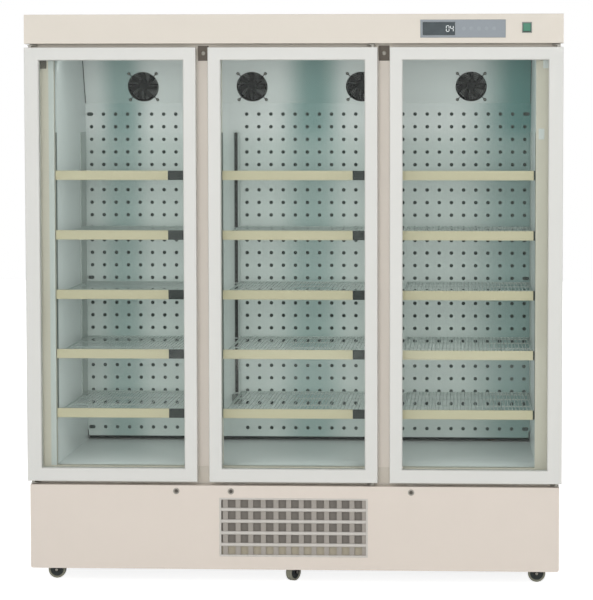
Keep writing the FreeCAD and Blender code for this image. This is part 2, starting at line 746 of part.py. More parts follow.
def make_base_panel(locks):
    """The folded panel below the doors, with the grille's cut-out and three lock holes."""
    inner = PANEL_FACE + SHEET
    wide = CASE_HALF - SHEET
    outer = block(-CASE_HALF, CASE_HALF, PANEL_FACE, FACE, SKIRT, BASE_TOP)
    corners = []
    for edge in outer.Edges:
        a, b = edge.Vertexes
        if max(a.Z, b.Z) < SKIRT + 1 and abs(a.X - b.X) < 1:
            corners.append(edge)
    outer = outer.makeFillet(BASE_CORNER, corners)
    hollow = block(-wide, wide, inner, FACE + 1, SKIRT + SHEET, BASE_TOP - SHEET)
    flange_end = PANEL_FACE + BASE_FLANGE
    rear_cut = block(-wide, wide, flange_end, FACE + 1, SKIRT - 1, BASE_TOP + 1)
    low = SKIRT + GRILLE_LIFT
    border = GRILLE_BORDER
    grille_hole = block(
        -GRILLE_WIDTH / 2 + border,
        GRILLE_WIDTH / 2 - border,
        PANEL_FACE - 1,
        inner + 1,
        low + border,
        low + GRILLE_HEIGHT - border,
    )
    axis = BASE_TOP - LOCK_DROP
    tools = [hollow, rear_cut, grille_hole]
    cam_y = inner + LOCK_LENGTH
    for x in locks:
        lock_hole = hole(LOCK_BARREL + SEAL_GAP, (x, PANEL_FACE - 1, axis), (x, inner + 1, axis))
        tools.append(lock_hole)
        tools.append(
            block(
                x - CAM_HALF - CAM_ROOM,
                x + CAM_REACH + CAM_HALF + CAM_ROOM,
                cam_y - CAM_ROOM,
                cam_y + CAM_THICK + CAM_ROOM,
                BASE_TOP - SHEET - 1,
                BASE_TOP + 1,
            )
        )
    keep("base_front_panel", carve(outer, tools))

    fit = border + SEAL_GAP
    face = PANEL_FACE - GRILLE_FLANGE
    back = PANEL_FACE + GRILLE_BODY
    half = GRILLE_WIDTH / 2
    high = low + GRILLE_HEIGHT
    flange = block(-half, half, face, PANEL_FACE, low, high)
    insert = block(-half + fit, half - fit, PANEL_FACE, back, low + fit, high - fit)
    inside = half - fit - 2
    room = GRILLE_HEIGHT - 2 * fit - 4
    pitch = (room + GRILLE_SLAT) / GRILLE_ROWS
    height = pitch - GRILLE_SLAT
    columns = []
    count = int(GRILLE_WIDTH / GRILLE_PITCH) + 2
    for n in range(-count, count):
        middle = GRILLE_PHASE + n * GRILLE_PITCH
        left = max(middle - GRILLE_GAP / 2, -inside)
        right = min(middle + GRILLE_GAP / 2, inside)
        if right - left > GRILLE_GAP / 5:
            columns.append((left, right))
    cells = []
    for row in range(GRILLE_ROWS):
        z = low + fit + 2 + row * pitch
        for left, right in columns:
            cells.append(block(left, right, face - 1, back + 1, z, z + height))
        cells.append(block(-inside, inside, face - 1, face + GRILLE_RIB_SET_BACK, z, z + height))
    keep("intake_grille", carve(join([flange, insert]), cells))


def make_locks(places):
    """Cam locks. A plug turns in its barrel and lifts its cam into the door above."""
    inner = PANEL_FACE + SHEET
    axis = BASE_TOP - LOCK_DROP
    face = PANEL_FACE - LOCK_HEAD_THICK
    barrel_end = inner + LOCK_LENGTH - SEAL_GAP
    barrels = []
    for name, x in places.items():
        head = rod(LOCK_HEAD, (x, face, axis), (x, PANEL_FACE, axis))
        body = rod(LOCK_BARREL, (x, PANEL_FACE, axis), (x, barrel_end, axis))
        bore = hole(LOCK_RADIUS + PIN_FIT, (x, face - 1, axis), (x, barrel_end + 1, axis))
        barrels.append(join([head, body]).cut(bore))
        cam_y = barrel_end + SEAL_GAP
        cam_back = cam_y + CAM_THICK
        plug = rod(LOCK_RADIUS, (x, face - 1, axis), (x, cam_y, axis))
        keyway = block(
            x - KEYWAY_HALF,
            x + KEYWAY_HALF,
            face - 2,
            face + KEYWAY_DEPTH,
            axis - KEYWAY_REACH,
            axis + KEYWAY_REACH,
        )
        hub = rod(CAM_HALF, (x, cam_y, axis), (x, cam_back, axis))
        lever = block(x, x + CAM_REACH, cam_y, cam_back, axis - CAM_HALF, axis + CAM_HALF)
        keep("lock_plug_" + name, join([plug.cut(keyway), hub, lever]))
    keep("lock_barrels", *barrels)


# Chassis and casters


def caster_places():
    """Each caster's name, its swivel axis and the way that its wheel trails at rest."""
    outer = HALF - CASTER_IN
    front, rear = FRONT + CASTER_FRONT, BACK - CASTER_REAR
    return [
        ("front_left", -outer, front, 180.0),
        ("front_middle", 0.0, front, 238.0),
        ("front_right", outer, front, 0.0),
        ("rear_left", -outer, rear, 160.0),
        ("rear_middle", 0.0, rear, 200.0),
        ("rear_right", outer, rear, 20.0),
    ]


def make_chassis():
    """The welded chassis: channel rails, posts, the deck under the case and the tray."""
    end = CASE_HALF - SHEET - SEAL_GAP
    front, rear = FRONT + CASTER_FRONT, BACK - CASTER_REAR
    half = RAIL / 2
    outer_x = HALF - CASTER_IN
    rails = [(-end, end, front - half, front + half), (-end, end, rear - half, rear + half)]
    for x in (-outer_x, -CROSS_X, 0.0, CROSS_X, outer_x):
        rails.append((x - half, x + half, front, rear))
    w = RAIL_WALL
    solid = [block(*r, CHASSIS_LIFT, RAIL_TOP) for r in rails]
    hollow = []
    for x0, x1, y0, y1 in rails:
        hollow.append(block(x0 + w, x1 - w, y0 + w, y1 - w, CHASSIS_LIFT - 1, RAIL_TOP - w))
    ladder = carve(join(solid), hollow)
    bosses = []
    sockets = []
    for _, x, y, _ in caster_places():
        b = SOCKET / 2
        bosses.append(block(x - b, x + b, y - b, y + b, CHASSIS_LIFT, RAIL_TOP - w))
        reach = CHASSIS_LIFT + STEM_IN_RAIL + 2
        sockets.append(hole(STEM_RADIUS + PIN_FIT, (x, y, CHASSIS_LIFT - 1), (x, y, reach)))
    posts = []
    deck_low = DECK_TOP - DECK
    flanges = ((front, front + w, front, front + POST), (rear - w, rear, rear - POST, rear))
    for x in (-outer_x, -CROSS_X, CROSS_X, outer_x):
        for y0, y1, web0, web1 in flanges:
            posts.append(block(x - POST / 2, x + POST / 2, y0, y1, RAIL_TOP, deck_low))
            posts.append(block(x - w / 2, x + w / 2, web0, web1, RAIL_TOP, deck_low))
    deck = block(-end, end, FACE_BACK, BACK - SHEET, DECK_TOP - DECK_FLANGE, DECK_TOP)
    under = block(
        -end + DECK,
        end - DECK,
        FACE_BACK + DECK,
        BACK - SHEET - DECK,
        DECK_TOP - DECK_FLANGE - 1,
        deck_low,
    )
    tray = block(-CROSS_X - half, outer_x, front - half, rear + half, RAIL_TOP, TRAY_TOP)
    chase = hole(CHASE_RADIUS, (CHASE_X, CHASE_Y, deck_low - 1), (CHASE_X, CHASE_Y, DECK_TOP + 1))
    frame = join([ladder, tray, deck.cut(under)] + posts + bosses)
    keep("chassis", carve(frame, sockets + [chase]))


def make_caster(name, x, y, heading):
    """A swivel fork with its axle and stem, and the wheel that turns in it."""
    leg_in = WHEEL_WIDTH / 2 + FORK_ROOM
    leg_out = leg_in + FORK_PLATE
    crown_low = 2 * WHEEL_RADIUS + FORK_OVER_WHEEL
    crown_top = CHASSIS_LIFT - SWIVEL_GAP
    tail = TRAIL + FORK_TAIL
    leg = [
        (-FORK_FRONT, crown_top - FORK_CROWN),
        (TRAIL - FORK_EAR, WHEEL_RADIUS - 3),
        (TRAIL, WHEEL_RADIUS - FORK_EAR),
        (TRAIL + FORK_EAR, WHEEL_RADIUS - 3),
        (tail, crown_top - FORK_CROWN),
    ]
    parts = [
        block(-FORK_FRONT, tail, -leg_out, leg_out, crown_low, crown_top),
        sweep_y(leg, -leg_out, -leg_in),
        sweep_y(leg, leg_in, leg_out),
        rod(STEM_RADIUS, (0, 0, crown_top), (0, 0, crown_top + STEM_IN_RAIL)),
        rod(AXLE_RADIUS, (TRAIL, -leg_in, WHEEL_RADIUS), (TRAIL, leg_in, WHEEL_RADIUS)),
    ]
    fork = join(parts)
    near = (TRAIL, -WHEEL_WIDTH / 2, WHEEL_RADIUS)
    far = (TRAIL, WHEEL_WIDTH / 2, WHEEL_RADIUS)
    wheel = rod(WHEEL_RADIUS, near, far, WHEEL_SIDES).cut(hole(AXLE_RADIUS + PIN_FIT, near, far))
    for shape, node in ((fork, "caster_fork_"), (wheel, "caster_wheel_")):
        shape.rotate(Vector(0, 0, 0), Vector(0, 0, 1), heading)
        shape.translate(Vector(x, y, 0))
        keep(node + name, shape)


# Fans


def rotor_shape(hub, tip, depth, blades):
    """A rotor about the Z axis: a hub with pitched blades that widen towards their tips."""
    half = depth / 2
    chord = (depth - 2 * BLADE) / sin(radians(BLADE_PITCH)) / 2
    outline = [(hub - 2, -chord * 0.6), (tip, -chord), (tip, chord), (hub - 2, chord * 0.6)]
    points = [Vector(x, y, -BLADE / 2) for x, y in outline + outline[:1]]
    blade = Part.Face(Part.makePolygon(points)).extrude(Vector(0, 0, BLADE))
    blade.rotate(Vector(0, 0, 0), Vector(1, 0, 0), BLADE_PITCH)
    shapes = [rod(hub, (0, 0, -half), (0, 0, half), SMALL_SIDES)]
    for n in range(blades):
        turned = blade.copy()
        turned.rotate(Vector(0, 0, 0), Vector(0, 0, 1), 360 * n / blades)
        shapes.append(turned)
    return join(shapes)


def fan_place(shape, x):
    """Turns a fan piece from its own frame to its place on the slanted panel."""
    tilt = radians(FAN_TILT)
    placed = shape.copy()
    placed.rotate(Vector(0, 0, 0), Vector(1, 0, 0), 90 + FAN_TILT)
    placed.translate(Vector(x, PERF_Y - FAN_UP * sin(tilt), PERF_TOP + FAN_UP * cos(tilt)))
    return placed


def make_fans():
    """The slanted panel with four fans behind it, each with a guard in front."""
    tilt = radians(FAN_TILT)
    rise = CEILING - SEAL_GAP - PERF_TOP
    wide = CAVITY_HALF - FIT_GAP
    lean = rise * tan(tilt)
    across = SHEET / cos(tilt)
    fold = FAN_PANEL_FOLD
    outline = [
        (PERF_Y, PERF_TOP),
        (PERF_Y - lean, CEILING - SEAL_GAP),
        (PERF_Y - lean + fold, CEILING - SEAL_GAP),
        (PERF_Y - lean + fold, CEILING - SEAL_GAP - SHEET),
        (PERF_Y - lean + across + SHEET * tan(tilt), CEILING - SEAL_GAP - SHEET),
        (PERF_Y + across, PERF_TOP),
    ]
    places = [FAN_PITCH * n for n in (-1.5, -0.5, 0.5, 1.5)]
    opening = hole(FAN_HOLE, (0, 0, -20), (0, 0, 20))
    panel = carve(sweep_x(outline, -wide, wide), [fan_place(opening, x) for x in places])
    keep("fan_panel", panel)

    back = -SHEET - FAN_DEPTH
    half = FAN_FRAME / 2
    duct = hole(FAN_HOLE - 1, (0, 0, back - 1), (0, 0, 1))
    frame = block(-half, half, -half, half, back, -SHEET).cut(duct)
    motor_front = back + MOTOR_DEPTH
    w = SPOKE_HALF
    spokes = [block(-half + 2, half - 2, -w, w, back, back + w)]
    spokes.append(block(-w, w, -half + 2, half - 2, back, back + w))
    motor = rod(MOTOR_RADIUS, (0, 0, back), (0, 0, motor_front), SMALL_SIDES)
    shaft = rod(SHAFT_RADIUS, (0, 0, motor_front), (0, 0, motor_front + SHAFT_REACH))
    housing = join([frame, motor, shaft] + spokes)
    keep("fan_housings", *[fan_place(housing, x) for x in places])

    bar = GUARD_BAR
    guard = []
    top = (0, 0, GUARD_THICK)
    inside = rod(GUARD_RING - bar, (0, 0, 0), top, SMALL_SIDES)
    guard.append(rod(GUARD_RING, (0, 0, 0), top, SMALL_SIDES).cut(inside))
    guard.append(rod(GUARD_HUB, (0, 0, 0), top, SMALL_SIDES))
    for angle in (45, 135):
        arm = block(-GUARD_REACH, GUARD_REACH, -bar / 2, bar / 2, 0, GUARD_THICK)
        arm.rotate(Vector(0, 0, 0), Vector(0, 0, 1), angle)
        guard.append(arm)
    guard = join(guard)
    keep("fan_guards", *[fan_place(guard, x) for x in places])

    rotor = rotor_shape(FAN_HUB, FAN_HOLE - FAN_TIP_GAP, FAN_ROTOR_DEPTH, FAN_BLADES)
    rotor.translate(Vector(0, 0, motor_front + SEAL_GAP + FAN_ROTOR_DEPTH / 2))
    shaft_end = (0, 0, motor_front + SHAFT_REACH + SEAL_GAP)
    rotor = rotor.cut(hole(SHAFT_RADIUS + PIN_FIT, (0, 0, motor_front), shaft_end))
    for n, x in enumerate(places, 1):
        keep("fan_rotor_" + str(n), fan_place(rotor, x))


# Cavity fittings


def make_back_panels():
    """Three panels that cover the air duct, each folded back at its long edges."""
    edges = [
        (-CAVITY_HALF + FIT_GAP, -PERF_SEAM - FIT_GAP / 2),
        (-PERF_SEAM + FIT_GAP / 2, PERF_SEAM - FIT_GAP / 2),
        (PERF_SEAM + FIT_GAP / 2, CAVITY_HALF - FIT_GAP),
    ]
    panels = []
    for left, right in edges:
        pan = block(left, right, PERF_Y, PERF_Y + PERF_FOLD, PERF_BOTTOM, PERF_TOP)
        inside = block(
            left + SHEET,
            right - SHEET,
            PERF_Y + SHEET,
            PERF_Y + PERF_FOLD + 1,
            PERF_BOTTOM + SHEET,
            PERF_TOP - SHEET,
        )
        panels.append(pan.cut(inside))
    keep("back_panels", *panels)


def bays():
    """Each bay's shelf limits and how far its label strip stops short at the right."""
    wall = CAVITY_HALF - SHELF_SIDE_GAP
    outer = MULLION_X + MULLION_HALF + SHELF_SIDE_GAP
    inner = MULLION_X - MULLION_HALF - SHELF_SIDE_GAP
    return [
        (-wall, -outer, STRIP_SHORT_LEFT),
        (-inner, inner, STRIP_SHORT_MIDDLE),
        (outer, wall, STRIP_SHORT_RIGHT),
    ]


def shelf_levels():
    """The middle height of each level's label strip."""
    return [FLOOR + SHELF_FIRST + n * SHELF_PITCH for n in range(SHELF_COUNT)]


def make_shelves():
    """Barred shelves with a front rail, and the label strips clipped on the rails."""
    shelves = []
    strips = []
    for left, right, short in bays():
        for level in shelf_levels():
            top = level + STRIP_HEIGHT / 2 - STRIP_LIP
            plate = block(left, right, SHELF_FRONT, SHELF_BACK, top - SHELF_BAR, top)
            room = right - left - 2 * SHELF_RIM + SHELF_BAR
            count = round(room / SHELF_BAR_PITCH)
            pitch = room / count
            slots = []
            for n in range(count):
                x = left + SHELF_RIM + n * pitch
                slots.append(
                    block(
                        x,
                        x + pitch - SHELF_BAR,
                        SHELF_FRONT + 14,
                        SHELF_BACK - SHELF_RIM,
                        top - SHELF_BAR - 1,
                        top + 1,
                    )
                )
            low = level - STRIP_HEIGHT / 2
            rail = block(left, right, SHELF_FRONT, SHELF_FRONT + 2, low, low + STRIP_HEIGHT)
            shelves.append(join([carve(plate, slots), rail]))
            strips.append(
                block(left, right - short, STRIP_FRONT, SHELF_FRONT, low, low + STRIP_HEIGHT)
            )
    keep("shelves", *shelves)
    keep("label_strips", *strips)


def make_uprights():
    """Slotted uprights at the walls, mullions and back, each with its shelf clips."""
    levels = shelf_levels()
    low = levels[0] - STRIP_HEIGHT / 2
    high = levels[-1] + UPRIGHT_TOP
    under = [z + STRIP_HEIGHT / 2 - STRIP_LIP - SHELF_BAR - SEAL_GAP for z in levels]
    uprights = []

    def side_strip(face, way, y0, y1):
        """A flat strip on a wall, with clips that stand out below each shelf."""
        outer = face + way * UPRIGHT_STRIP
        strip = block(min(face, outer), max(face, outer), y0, y1, low, high)
        shelf_edge = face + way * (SHELF_SIDE_GAP + 10)
        clips = []
        for z in under:
            span = (min(outer, shelf_edge), max(outer, shelf_edge))
            clips.append(block(*span, y0 + 2, y0 + 18, z - CLIP, z))
        return join([strip] + clips)

    front = FACE + FACE_LIP_DEPTH + FIT_GAP
    pairs = [
        (CAVITY_HALF, -1, front, front + UPRIGHT_WIDTH),
        (CAVITY_HALF, -1, SHELF_BACK - SIDE_UPRIGHT_REAR, SHELF_BACK),
        (MULLION_X + MULLION_HALF, 1, front, front + UPRIGHT_WIDTH),
        (MULLION_X - MULLION_HALF, -1, front, front + UPRIGHT_WIDTH),
    ]
    for pair in pairs:
        strip = side_strip(*pair)
        uprights += [strip, mirror(strip)]

    half = UPRIGHT_WIDTH / 2
    y0 = PERF_Y - UPRIGHT_DEPTH
    places = [
        (MIDDLE_UPRIGHT, MULLION_X - MULLION_HALF - SHELF_SIDE_GAP - 12),
        (OUTER_UPRIGHT, MULLION_X + MULLION_HALF + SHELF_SIDE_GAP + 12),
    ]
    for x, reach in places:
        channel = block(x - half, x + half, y0, PERF_Y, low, high)
        inner = half - UPRIGHT_WALL
        inside = block(x - inner, x + inner, y0 + UPRIGHT_WALL, PERF_Y + 1, low - 1, high + 1)
        pieces = [channel.cut(inside)]
        for z in under:
            span = (min(x - half, reach), max(x + half, reach))
            pieces.append(block(*span, y0 - 14, y0, z - CLIP, z))
        channel = join(pieces)
        uprights += [channel, mirror(channel)]
    keep("shelf_uprights", *uprights)


# Machine compartment and cooling


def finned_core(x0, x1, y0, y1, z0, z1, depth):
    """A fin-and-tube core with its fins cut into the front and the back face."""
    core = block(x0, x1, y0, y1, z0, z1)
    count = int((x1 - x0 - 2 * FIN_PITCH) / FIN_PITCH)
    start = (x0 + x1) / 2 - count * FIN_PITCH / 2
    slots = []
    for n in range(count):
        x = start + n * FIN_PITCH
        slots.append(block(x, x + FIN_SLOT, y0 - 1, y0 + depth, z0 + FIN_MARGIN, z1 - FIN_MARGIN))
    return carve(core, slots)


def make_machine():
    """Compressor, condenser with its fan, drain pan, evaporator and the lines between."""
    x, y = COMPRESSOR_X, COMPRESSOR_Y
    r, h = COMPRESSOR_RADIUS, COMPRESSOR_HEIGHT
    z = TRAY_TOP + COMPRESSOR_LIFT
    shell = rod(r, (x, y, z), (x, y, z + h))
    rim = [e for e in shell.Edges if all(v.Z > z + h - 1 for v in e.Vertexes)]
    shell = shell.makeChamfer(COMPRESSOR_DOME, rim)
    feet = []
    for middle in (y - FOOT_OFFSET, y + FOOT_OFFSET):
        y0, y1 = middle - FOOT_WIDTH / 2, middle + FOOT_WIDTH / 2
        feet.append(block(x - FOOT_HALF, x + FOOT_HALF, y0, y1, TRAY_TOP, z + 3))
    box = block(
        x - r - TERMINAL_BOX,
        x - r * 0.8,
        y - TERMINAL_HALF,
        y + TERMINAL_HALF,
        z + TERMINAL_LOW,
        z + TERMINAL_HIGH,
    )
    keep("compressor", join([shell, box] + feet))

    front = FRONT + CASTER_FRONT - RAIL / 2 + CONDENSER_FROM_RAIL
    half = CONDENSER_WIDTH / 2
    top = TRAY_TOP + CONDENSER_HEIGHT
    core_back = front + CONDENSER_DEPTH
    core = finned_core(-half, half, front, core_back, TRAY_TOP, top, CONDENSER_FIN_DEPTH)
    keep("condenser", core)

    middle = TRAY_TOP + CONDENSER_HEIGHT / 2
    shroud_back = core_back + SHROUD_DEPTH
    shroud = block(-half, half, core_back, shroud_back, TRAY_TOP, top)
    inside = block(
        -half + SHEET,
        half - SHEET,
        core_back - 1,
        shroud_back - SHEET,
        TRAY_TOP + SHEET,
        top - SHEET,
    )
    mouth_radius = CONDENSER_FAN + CONDENSER_MOUTH
    mouth = hole(mouth_radius, (0, shroud_back - 5, middle), (0, shroud_back + 5, middle))
    motor_front = shroud_back + MOTOR_STAND_OFF
    motor_back = motor_front + CONDENSER_MOTOR_DEPTH
    motor = rod(CONDENSER_MOTOR, (0, motor_front, middle), (0, motor_back, middle))
    shaft_end = motor_front - CONDENSER_SHAFT
    shaft = rod(SHAFT_RADIUS, (0, motor_front, middle), (0, shaft_end, middle))
    arm_x = CONDENSER_FAN + ARM_BACK
    arm_y = motor_front + ARM_BACK
    arm_z = (middle - ARM / 2, middle + ARM / 2)
    arms = [block(-arm_x, arm_x, arm_y - ARM_THICK, arm_y, *arm_z)]
    for x0 in (-arm_x, arm_x - ARM):
        arms.append(block(x0, x0 + ARM, shroud_back - SHEET, arm_y, *arm_z))
    keep("condenser_shroud", join([carve(shroud, [inside, mouth]), motor, shaft] + arms))

    depth = CONDENSER_ROTOR_DEPTH
    tip = mouth_radius - CONDENSER_TIP_GAP
    rotor = rotor_shape(CONDENSER_HUB, tip, depth, CONDENSER_BLADES)
    rotor.rotate(Vector(0, 0, 0), Vector(1, 0, 0), 90)
    rotor_back = motor_front - SEAL_GAP
    rotor.translate(Vector(0, rotor_back - depth / 2, middle))
    deep = (0, shaft_end - 0.5, middle)
    shaft_hole = hole(SHAFT_RADIUS + PIN_FIT, (0, rotor_back, middle), deep)
    keep("condenser_rotor", rotor.cut(shaft_hole))

    y0 = BACK - CASTER_REAR - DRAIN_WIDTH
    x0 = POST / 2 + FIT_GAP - CROSS_X
    x1 = x0 + DRAIN_LENGTH
    y1 = y0 + DRAIN_WIDTH
    wall = DRAIN_WALL
    top = TRAY_TOP + DRAIN_HEIGHT
    pan = block(x0, x1, y0, y1, TRAY_TOP, top)
    inside = block(x0 + wall, x1 - wall, y0 + wall, y1 - wall, TRAY_TOP + wall, top + 1)
    keep("drain_pan", pan.cut(inside))

    coil_top = PERF_TOP - EVAPORATOR_TOP
    coil_front = CAVITY_BACK - EVAPORATOR_DEPTH
    e = EVAPORATOR_HALF
    coil_low = coil_top - EVAPORATOR_HEIGHT
    fins = EVAPORATOR_FIN_DEPTH
    keep("evaporator", finned_core(-e, e, coil_front, CAVITY_BACK, coil_low, coil_top, fins))

    lines = []
    pair = (
        (SUCTION_RADIUS, -LINE_SPREAD, SUCTION_LIFT),
        (LIQUID_RADIUS, LINE_SPREAD, LIQUID_LIFT),
    )
    for radius, offset, lift in pair:
        x_up = CHASE_X + offset
        shell_z = TRAY_TOP + lift
        end_z = coil_low + EVAPORATOR_HEIGHT / 2 + offset
        start_y = COMPRESSOR_Y + offset
        route = [
            (COMPRESSOR_X + COMPRESSOR_RADIUS, start_y, shell_z),
            (x_up, start_y, shell_z),
            (x_up, CHASE_Y, shell_z),
            (x_up, CHASE_Y, end_z),
            (EVAPORATOR_HALF, CHASE_Y, end_z),
        ]
        lines.append(pipe(radius, route))
    keep("pipework", *lines)


def pipe(radius, route):
    """A tube along straight runs, with each corner turned in two steps of 45 degrees."""
    points = [Vector(*p) for p in route]
    path = points[:1]
    for before, corner, after in zip(points, points[1:], points[2:]):
        path.append(corner + (before - corner).normalize() * PIPE_BEND)
        path.append(corner + (after - corner).normalize() * PIPE_BEND)
    path.append(points[-1])
    section = disc(radius, path[0], path[1] - path[0]).OuterWire
    return Part.makePolygon(path).makePipeShell([section], True, False, 1)


make_case()
make_header()
make_doors()
make_chassis()
for place in caster_places():
    make_caster(*place)
make_fans()
make_back_panels()
make_shelves()
make_uprights()
make_machine()
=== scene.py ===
import json
from math import pi, radians

import bmesh
import bpy
import numpy as np
from bpy.props import FloatProperty, FloatVectorProperty, IntProperty, PointerProperty
from bpy.types import NodeSocket, Operator, Panel, PropertyGroup
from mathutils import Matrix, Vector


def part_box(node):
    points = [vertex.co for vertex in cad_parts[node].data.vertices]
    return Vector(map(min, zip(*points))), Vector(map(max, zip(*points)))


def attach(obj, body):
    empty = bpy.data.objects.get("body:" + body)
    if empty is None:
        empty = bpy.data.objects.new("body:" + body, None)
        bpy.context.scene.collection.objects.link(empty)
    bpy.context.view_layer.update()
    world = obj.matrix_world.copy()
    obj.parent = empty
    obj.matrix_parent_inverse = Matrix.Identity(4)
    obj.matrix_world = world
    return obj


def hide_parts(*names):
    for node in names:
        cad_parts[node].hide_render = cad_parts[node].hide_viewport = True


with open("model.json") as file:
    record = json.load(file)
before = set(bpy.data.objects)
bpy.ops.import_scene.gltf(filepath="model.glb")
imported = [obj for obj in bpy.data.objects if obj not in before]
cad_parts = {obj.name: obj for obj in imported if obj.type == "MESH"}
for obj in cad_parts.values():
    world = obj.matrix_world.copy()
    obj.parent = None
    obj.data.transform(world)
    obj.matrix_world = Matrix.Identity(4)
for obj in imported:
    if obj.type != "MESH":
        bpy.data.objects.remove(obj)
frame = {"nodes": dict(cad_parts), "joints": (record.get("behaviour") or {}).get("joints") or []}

bl_info = {
    "name": "Pharmacy refrigerator",
    "version": (1, 0, 0),
    "blender": (4, 5, 0),
    "location": "3D View > Sidebar > Refrigerator",
    "description": "Dresses the packed pharmacy refrigerator with its finishes and fine parts",
    "category": "Object",
}

MM = 0.001
JOINTS = {joint["child"]: joint for joint in frame["joints"]}
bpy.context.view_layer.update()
SIDES = ("left", "middle", "right")
CASTERS = [row + "_" + side for row in ("front", "rear") for side in SIDES]


def linear(code):
    """An sRGB hex colour as linear red, green and blue."""
    shares = np.array([int(code[n:n + 2], 16) / 255 for n in (0, 2, 4)])
    return tuple(np.where(shares <= 0.04045, shares / 12.92, ((shares + 0.055) / 1.055) ** 2.4))


# Sizes and colours that a user would change


POWER = {"min": 0.0, "unit": "POWER"}
COLOUR = {"min": 0.0, "max": 1.0, "subtype": "COLOR"}
LENGTH = {"min": 0.0, "unit": "LENGTH"}


class RefrigeratorStage(PropertyGroup):
    lens: FloatProperty(
        name="Lens", description="Focal length on a 36 mm sensor", default=126.2, min=20.0, unit="CAMERA"
    )
    studio_level: FloatProperty(
        name="Studio level", description="Strength of the room's even light", default=0.46, min=0.0
    )
    key_power: FloatProperty(name="Key lamp", description="Power of the lamp at the left", default=58.0, **POWER)
    fill_power: FloatProperty(name="Fill lamp", description="Power of the lamp at the right", default=66.0, **POWER)
    front_power: FloatProperty(
        name="Front lamp", description="Power of the lamp behind the camera", default=217.0, **POWER
    )
    cavity_power: FloatProperty(
        name="Cavity lamps", description="Power of the lamp at the mouth of each bay", default=1.85, **POWER
    )
    ceiling_power: FloatProperty(
        name="Ceiling lamps", description="Power of the lamp under each bay's ceiling", default=0.21, **POWER
    )
    floor_colour: FloatVectorProperty(
        name="Floor", description="Colour of the studio floor", default=linear("EDEDEB"), **COLOUR
    )


class RefrigeratorPaint(PropertyGroup):
    header: FloatVectorProperty(
        name="Header", description="Paint of the header cover", default=linear("DFD8CD"), **COLOUR
    )
    case: FloatVectorProperty(
        name="Case", description="Paint of the case and the base panel", default=linear("E0D6CC"), **COLOUR
    )
    doors: FloatVectorProperty(
        name="Doors", description="Paint of the door frames", default=linear("DCDCD8"), **COLOUR
    )
    liner: FloatVectorProperty(
        name="Liner", description="Paint of the cavity's walls", default=linear("D6DBDB"), **COLOUR
    )
    back_panels: FloatVectorProperty(
        name="Back panels", description="Paint of the perforated panels", default=linear("BAC3C1"), **COLOUR
    )


class RefrigeratorEdges(PropertyGroup):
    sheet: FloatProperty(name="Sheet", description="Round on the edges of folded sheet", default=0.5 * MM, **LENGTH)
    plastic: FloatProperty(name="Plastic", description="Round on moulded edges", default=0.9 * MM, **LENGTH)
    door: FloatProperty(name="Doors", description="Round on the edges of the door frames", default=1.2 * MM, **LENGTH)
    steps: IntProperty(name="Steps", description="Steps in each round", default=3, min=1, max=6)


class RefrigeratorPerforations(PropertyGroup):
    hole_radius: FloatProperty(name="Hole radius", description="Radius of each hole", default=7.0 * MM, **LENGTH)
    column_pitch: FloatProperty(name="Pitch", description="Between the holes of a row", default=46.0 * MM, **LENGTH)
    columns: IntProperty(name="Columns", description="Holes in each row of a panel", default=11, min=1)
    rows: IntProperty(name="Rows", description="Rows of holes in a panel", default=26, min=1)
    lowest: FloatProperty(name="Lowest row", description="Height of the lowest row", default=459.0 * MM, **LENGTH)
    highest: FloatProperty(name="Highest row", description="Height of the highest row", default=1654.0 * MM, **LENGTH)


class RefrigeratorShelves(PropertyGroup):
    wire_radius: FloatProperty(name="Wire radius", description="Of the long wires", default=1.4 * MM, **LENGTH)
    wire_pitch: FloatProperty(name="Wire pitch", description="Between the long wires", default=13.0 * MM, **LENGTH)
    rod_radius: FloatProperty(name="Rod radius", description="Of the cross rods", default=2.2 * MM, **LENGTH)


class RefrigeratorFans(PropertyGroup):
    rings: IntProperty(name="Guard rings", description="Wire rings in each guard", default=7, min=2)
    wire_radius: FloatProperty(name="Guard wire", description="Radius of its wire", default=1.3 * MM, **LENGTH)
    blades: IntProperty(name="Blades", description="Blades on each fan", default=7, min=3)


# Finishes. Each line is: colour, roughness, metallic, grain in mm, relief in mm, mottle, and how far the pattern
# is squeezed along x, y and z where it isn't even: a small number draws it out into lines

